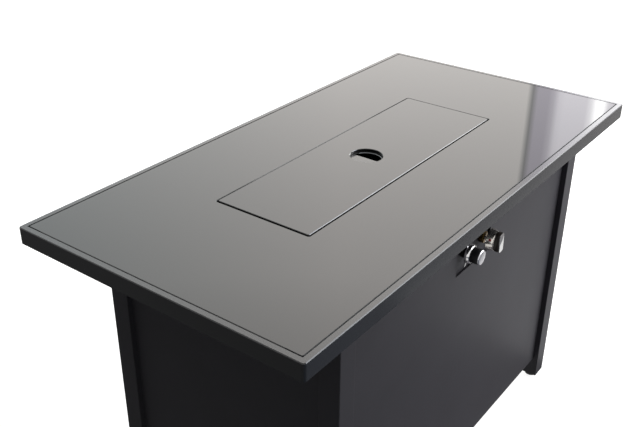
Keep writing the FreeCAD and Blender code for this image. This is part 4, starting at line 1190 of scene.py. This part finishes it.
@dataclass
class LevellingFeet:
    """Four moulded feet on threaded studs, under the posts."""

    radius: float = 14.0 * MM
    edge: float = 4.0 * MM
    top: float = 10.7 * MM
    rebate: float = 0.6 * MM
    rebate_foot: float = 3.0 * MM
    rebate_slope: float = 0.4 * MM
    stud_radius: float = 4.0 * MM
    stud_length: float = 30.0 * MM

    def build(self) -> list[bpy.types.Object]:
        """Builds each foot over its CAD node.

        Returns:
            The feet.
        """
        return [self.foot(name) for name in ("front_left", "front_right", "back_left",
                                             "back_right")]

    def foot(self, name: str) -> bpy.types.Object:
        """One foot with a rounded tread, a rebate under its post and its stud.

        Args:
            name: the corner of the table that it stands at.

        Returns:
            The piece.
        """
        low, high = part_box("foot_" + name)
        r, edge, top = self.radius, self.edge, self.top
        tread = [(r - edge + edge * math.sin(angle), edge - edge * math.cos(angle))
                 for angle in (math.radians(step) for step in range(0, 91, 15))]
        shoulder, neck, tip = top - self.rebate_foot, r - self.rebate, top + self.stud_length
        piece = Piece("levelling_foot_" + name)
        piece.turn([(0.0, 0.0)] + tread
                   + [(r, shoulder), (neck, shoulder + self.rebate_slope), (neck, top),
                      (self.stud_radius, top), (self.stud_radius, tip), (0.0, tip)])
        piece.soften(0.25 * MM, angle=60.0)
        piece.move(Matrix.Translation(((low.x + high.x) / 2, (low.y + high.y) / 2, 0)))
        return piece.finish(Body(name + "_foot"), Slot.BLACK_PLASTIC,
                            replaces=["foot_" + name])


@dataclass(frozen=True)
class CardGlow(Finish):
    """Light of a studio card, whose linear tone changes along X from start to end."""

    left: Triple = (1.0, 1.0, 1.0)
    right: Triple = (1.0, 1.0, 1.0)
    start: float = 0.0
    end: float = 1.0

    def shade(self, tree: bpy.types.NodeTree, place: bpy.types.NodeSocket) -> bpy.types.Node:
        """Adds the glow's nodes.

        Args:
            tree: the material's tree.
            place: the object's own coordinates.

        Returns:
            The shader.
        """
        along = add_node(tree, "SeparateXYZ", links={0: place}).outputs["X"]
        share = add_node(tree, "MapRange", {"From Min": self.start, "From Max": self.end},
                         {"Value": along})
        tone = add_node(tree, "Mix", {"data_type": "RGBA", 6: (*self.left, 1.0),
                                      7: (*self.right, 1.0)}, {0: share.outputs[0]})
        return add_node(tree, "Emission", {"Strength": 1.0}, {"Color": tone.outputs[2]})


@dataclass(frozen=True)
class WallGlow(Finish):
    """Light of the curved wall, by bearing from its axis and by height.

    The table's glass mirrors it. It has a few bands, each of one plain tone that blends
    into the next: bright and pale ones at the right end, a dim one that ends in a narrow
    dark line, and a warm grey that turns cool to the left.
    """

    title: str = "studio_wall"
    top: float = 4.4
    peak: float = 7.0
    bright: Triple = (7.0, 7.0, 7.0)
    pale: Triple = (3.7, 3.6, 3.8)
    dim: Triple = (2.0, 1.9, 2.1)
    dark: Triple = (1.1, 1.1, 1.1)
    warm: Triple = (2.9, 2.8, 2.7)
    cool: Triple = (1.7, 1.8, 1.8)
    rises: tuple[tuple[float, float], ...] = ((1.4, 0.9), (2.9, 1.1), (3.8, 1.0))

    def bands(self) -> list[tuple[float, float, Triple]]:
        """Bands of the wall, from its right end.

        Returns:
            The bearings in degrees where each starts and ends, and its tone.
        """
        return [(0.0, 16.3, self.bright), (16.6, 17.2, self.pale), (17.4, 18.0, self.bright),
                (18.4, 20.3, self.pale), (20.9, 21.8, self.dim), (22.08, 22.14, self.dark),
                (22.3, 35.0, self.warm), (58.0, 75.0, self.cool)]

    def shade(self, tree: bpy.types.NodeTree, place: bpy.types.NodeSocket) -> bpy.types.Node:
        """Adds the wall's nodes.

        Args:
            tree: the material's tree.
            place: the wall's own coordinates, with its axis at the origin.

        Returns:
            The shader.
        """
        split = add_node(tree, "SeparateXYZ", links={0: place}).outputs
        bearing = add_node(tree, "Math", {"operation": "ARCTAN2"},
                           {0: split["Y"], 1: split["X"]})
        share = add_node(tree, "MapRange", {"From Max": QUARTER_TURN},
                         {"Value": bearing.outputs[0]})
        ramp = add_node(tree, "ValToRGB", links={0: share.outputs[0]})
        set_stops(ramp, [(degrees / 90.0, [value / self.peak for value in tone])
                         for start, end, tone in self.bands() for degrees in (start, end)])
        height = add_node(tree, "MapRange", {"From Max": self.top}, {"Value": split["Z"]})
        rise = add_node(tree, "ValToRGB", links={0: height.outputs[0]})
        set_stops(rise, [(metres / self.top, (level,) * 3) for metres, level in self.rises])
        strength = add_node(tree, "Math", {"operation": "MULTIPLY", 1: self.peak},
                            {0: rise.outputs[0]})
        return add_node(tree, "Emission",
                        links={"Color": ramp.outputs[0], "Strength": strength.outputs[0]})


@dataclass(frozen=True)
class Card:
    """A flat card square to the axes, from one corner to the opposite one.

    A card that doesn't light dull surfaces is seen in mirrors alone.
    """

    name: str
    glow: CardGlow
    corner: Triple
    opposite: Triple
    lights_dull: bool = True

    def corners(self) -> list[Triple]:
        """Its corners, in order round it.

        Returns:
            The four corners.
        """
        across, up = [axis for axis in range(3) if self.corner[axis] != self.opposite[axis]]
        second, last = list(self.corner), list(self.corner)
        second[across], last[up] = self.opposite[across], self.opposite[up]
        return [self.corner, tuple(second), self.opposite, tuple(last)]


@dataclass
class Studio:
    """Camera, pale floor, lamp, and the wall and cards that the table mirrors."""

    camera_at: Triple = (-1.2093, -0.7935, 1.3021)
    yaw: float = 36.58
    pitch: float = -28.43
    roll: float = 0.46
    focal_px: float = 871.9
    sensor_mm: float = 36.0
    floor_reach: float = 9.0
    floor_glow: float = 0.92
    floor_seen: float = 0.5
    floor_thrown: float = 0.05
    wall_distance: float = 4.6
    wall_foot: float = 0.3
    wall_arc: float = 80.0
    card_height: float = 2.0 * MM
    card_split: float = -0.68
    card_front: float = -0.24
    left_x: tuple[float, float] = (-0.42, -1.7)
    left_back: float = 1.8
    left_top: float = 1.4
    corner_end: float = -1.06
    panel_x: tuple[float, float] = (-0.35, 0.45)
    rim_x: tuple[float, float] = (-1.9, 2.8)
    rim_front: float = -1.7
    window_y: float = -3.2
    window_x: tuple[float, float] = (0.8, 9.0)
    window_z: Triple = (1.7, 3.4, 4.8)
    lamp_at: Triple = (1.3, -1.5, 1.2)
    lamp_aim: Triple = (0.1, -0.23, 0.35)
    lamp_side: float = 1.8
    lamp_watts: float = 34.0
    world_glow: float = 0.05

    def build(self) -> None:
        """Sets up the camera, floor, wall, cards, lamp and world."""
        self.camera()
        self.floor()
        self.wall()
        self.cards()
        self.lamp()
        self.world()
        bpy.context.scene.view_settings.view_transform = "Standard"

    def camera(self) -> None:
        """Camera at the photograph's place, angle and lens."""
        yaw, pitch = math.radians(self.yaw), math.radians(self.pitch)
        ahead = Vector((math.cos(pitch) * math.cos(yaw), math.cos(pitch) * math.sin(yaw),
                        math.sin(pitch)))
        data = bpy.data.cameras.new("camera")
        data.sensor_width = self.sensor_mm
        data.lens = self.sensor_mm * self.focal_px / PHOTO_WIDTH
        made = add_object("camera", data)
        made.matrix_world = (Matrix.Translation(self.camera_at)
                             @ ahead.to_track_quat("-Z", "Y").to_matrix().to_4x4()
                             @ Matrix.Rotation(math.radians(self.roll), 4, "Z"))
        bpy.context.scene.camera = made

    def sheet(self, name: str, corners: list[Triple],
              material: bpy.types.Material) -> bpy.types.Object:
        """Flat stage piece.

        Args:
            name: its name.
            corners: its four corners, in order round it.
            material: its material.

        Returns:
            The object.
        """
        piece = Piece(name)
        piece.mesh.faces.new([piece.mesh.verts.new(corner) for corner in corners])
        return piece.stage(material)

    def seen(self, tree: bpy.types.NodeTree) -> bpy.types.NodeSocket:
        """Tells what the camera sees, itself or by a mirror or glass, from what is only lit.

        Args:
            tree: the tree that asks.

        Returns:
            1 for what is seen, and 0 for the rest.
        """
        path = add_node(tree, "LightPath").outputs
        plain = add_node(tree, "Math", {"operation": "MAXIMUM"},
                         {0: path["Is Camera Ray"], 1: path["Is Glossy Ray"]})
        glass = add_node(tree, "Math", {"operation": "MAXIMUM"},
                         {0: plain.outputs[0], 1: path["Is Transmission Ray"]})
        return glass.outputs[0]

    def floor(self) -> None:
        """Floor that looks white to the camera and in mirrors, yet throws little light back."""
        made = bpy.data.materials.new("studio_floor")
        tree = empty_tree(made)
        glow = add_node(tree, "Math", {"operation": "MULTIPLY", 1: self.floor_glow},
                        {0: self.seen(tree)})
        light = add_node(tree, "Emission", {"Color": (1, 1, 1, 1)},
                         {"Strength": glow.outputs[0]})
        by_camera = add_node(tree, "LightPath").outputs["Is Camera Ray"]
        tone = add_node(tree, "Mix", {"data_type": "RGBA", 6: (*(self.floor_thrown,) * 3, 1),
                                      7: (*(self.floor_seen,) * 3, 1)}, {0: by_camera})
        matt = add_node(tree, "BsdfDiffuse", links={"Color": tone.outputs[2]})
        both = add_node(tree, "AddShader", links={0: light.outputs[0], 1: matt.outputs[0]})
        add_node(tree, "OutputMaterial", links={"Surface": both.outputs[0]})
        reach = self.floor_reach
        self.sheet("studio_floor", [(-reach, -reach, 0), (reach, -reach, 0),
                                    (reach, reach, 0), (-reach, reach, 0)], made)

    def wall(self) -> None:
        """Curved bright wall behind the table, round the camera's place."""
        glow = WallGlow()
        piece = Piece("studio_wall")
        line = piece.draw([(self.wall_distance, self.wall_foot), (self.wall_distance, glow.top)])
        piece.sweep(line, 48, math.radians(self.wall_arc))
        made = piece.stage(glow.material())
        made.location = (self.camera_at[0], self.camera_at[1], 0)
        made.visible_camera = False

    def cards(self) -> None:
        """Cards, unseen by the camera, whose tones the table's end, front and arrises mirror."""
        dim = CardGlow("studio_card_grey", (0.14,) * 3, (0.14,) * 3)
        panel = CardGlow("studio_card_panel", (0.17, 0.165, 0.185), (0.125, 0.125, 0.13),
                         0.2, 0.45)
        graded = CardGlow("studio_card_graded", (0.13, 0.15, 0.185), (0.43, 0.41, 0.4),
                          0.1, 2.0)
        lower = CardGlow("studio_window_low", (1.9, 2.1, 2.4), (2.2, 2.2, 2.3), 2.0, 6.0)
        upper = CardGlow("studio_window_high", (7.4, 7.8, 9.0), (8.4, 8.4, 8.6), 2.0, 7.0)
        z, split, front, back = self.card_height, self.card_split, self.card_front, self.left_back
        (near, far), (start, end), y = self.left_x, self.window_x, self.window_y
        (left, right), (bottom, middle, top) = self.panel_x, self.window_z
        cards = [
            Card("left_floor", dim, (near, front, z), (far, back, z)),
            Card("left_wall", dim, (far, front, z), (far, back, self.left_top)),
            Card("front_floor", panel, (left, split, z), (right, front, z)),
            Card("rim_floor", graded, (self.rim_x[0], self.rim_front, z),
                 (self.rim_x[1], split, z)),
            Card("corner_floor", dim, (far, split, z), (self.corner_end, front, z)),
            Card("window_low", lower, (start, y, bottom), (end, y, middle), lights_dull=False),
            Card("window_high", upper, (start, y, middle), (end, y, top), lights_dull=False),
        ]
        for card in cards:
            made = self.sheet("studio_card_" + card.name, card.corners(), card.glow.material())
            made.visible_camera = False
            made.visible_shadow = False
            made.visible_diffuse = card.lights_dull

    def lamp(self) -> None:
        """Square soft lamp at the front right."""
        data = bpy.data.lights.new("main_lamp", "AREA")
        data.shape = "SQUARE"
        data.size = self.lamp_side
        data.energy = self.lamp_watts
        made = add_object("main_lamp", data)
        toward = Vector(self.lamp_aim) - Vector(self.lamp_at)
        made.matrix_world = (Matrix.Translation(self.lamp_at)
                             @ toward.to_track_quat("-Z", "Y").to_matrix().to_4x4())
        made.visible_camera = False

    def world(self) -> None:
        """World that looks white in mirrors and gives a dim even light."""
        made = bpy.data.worlds.new("studio_world")
        bpy.context.scene.world = made
        tree = empty_tree(made)
        strength = add_node(tree, "MapRange", {"To Min": self.world_glow, "To Max": 1.0},
                            {"Value": self.seen(tree)})
        light = add_node(tree, "Background", {"Color": (1, 1, 1, 1)},
                         {"Strength": strength.outputs[0]})
        add_node(tree, "OutputWorld", links={"Surface": light.outputs[0]})


def main() -> None:
    """Dresses the CAD nodes and builds the new pieces and the studio."""
    logging.basicConfig(level=logging.INFO, format="%(message)s")
    for assembly in (CadFinishes(), GasKnob(), IgniterButton(), ValveNut(), GlassLid(),
                     LevellingFeet()):
        for made in assembly.build():
            LOG.info("%s: %d faces in %s", made.name, len(made.data.polygons),
                     made.data.materials[0].name)
    Studio().build()


if __name__ == "__main__":
    main()
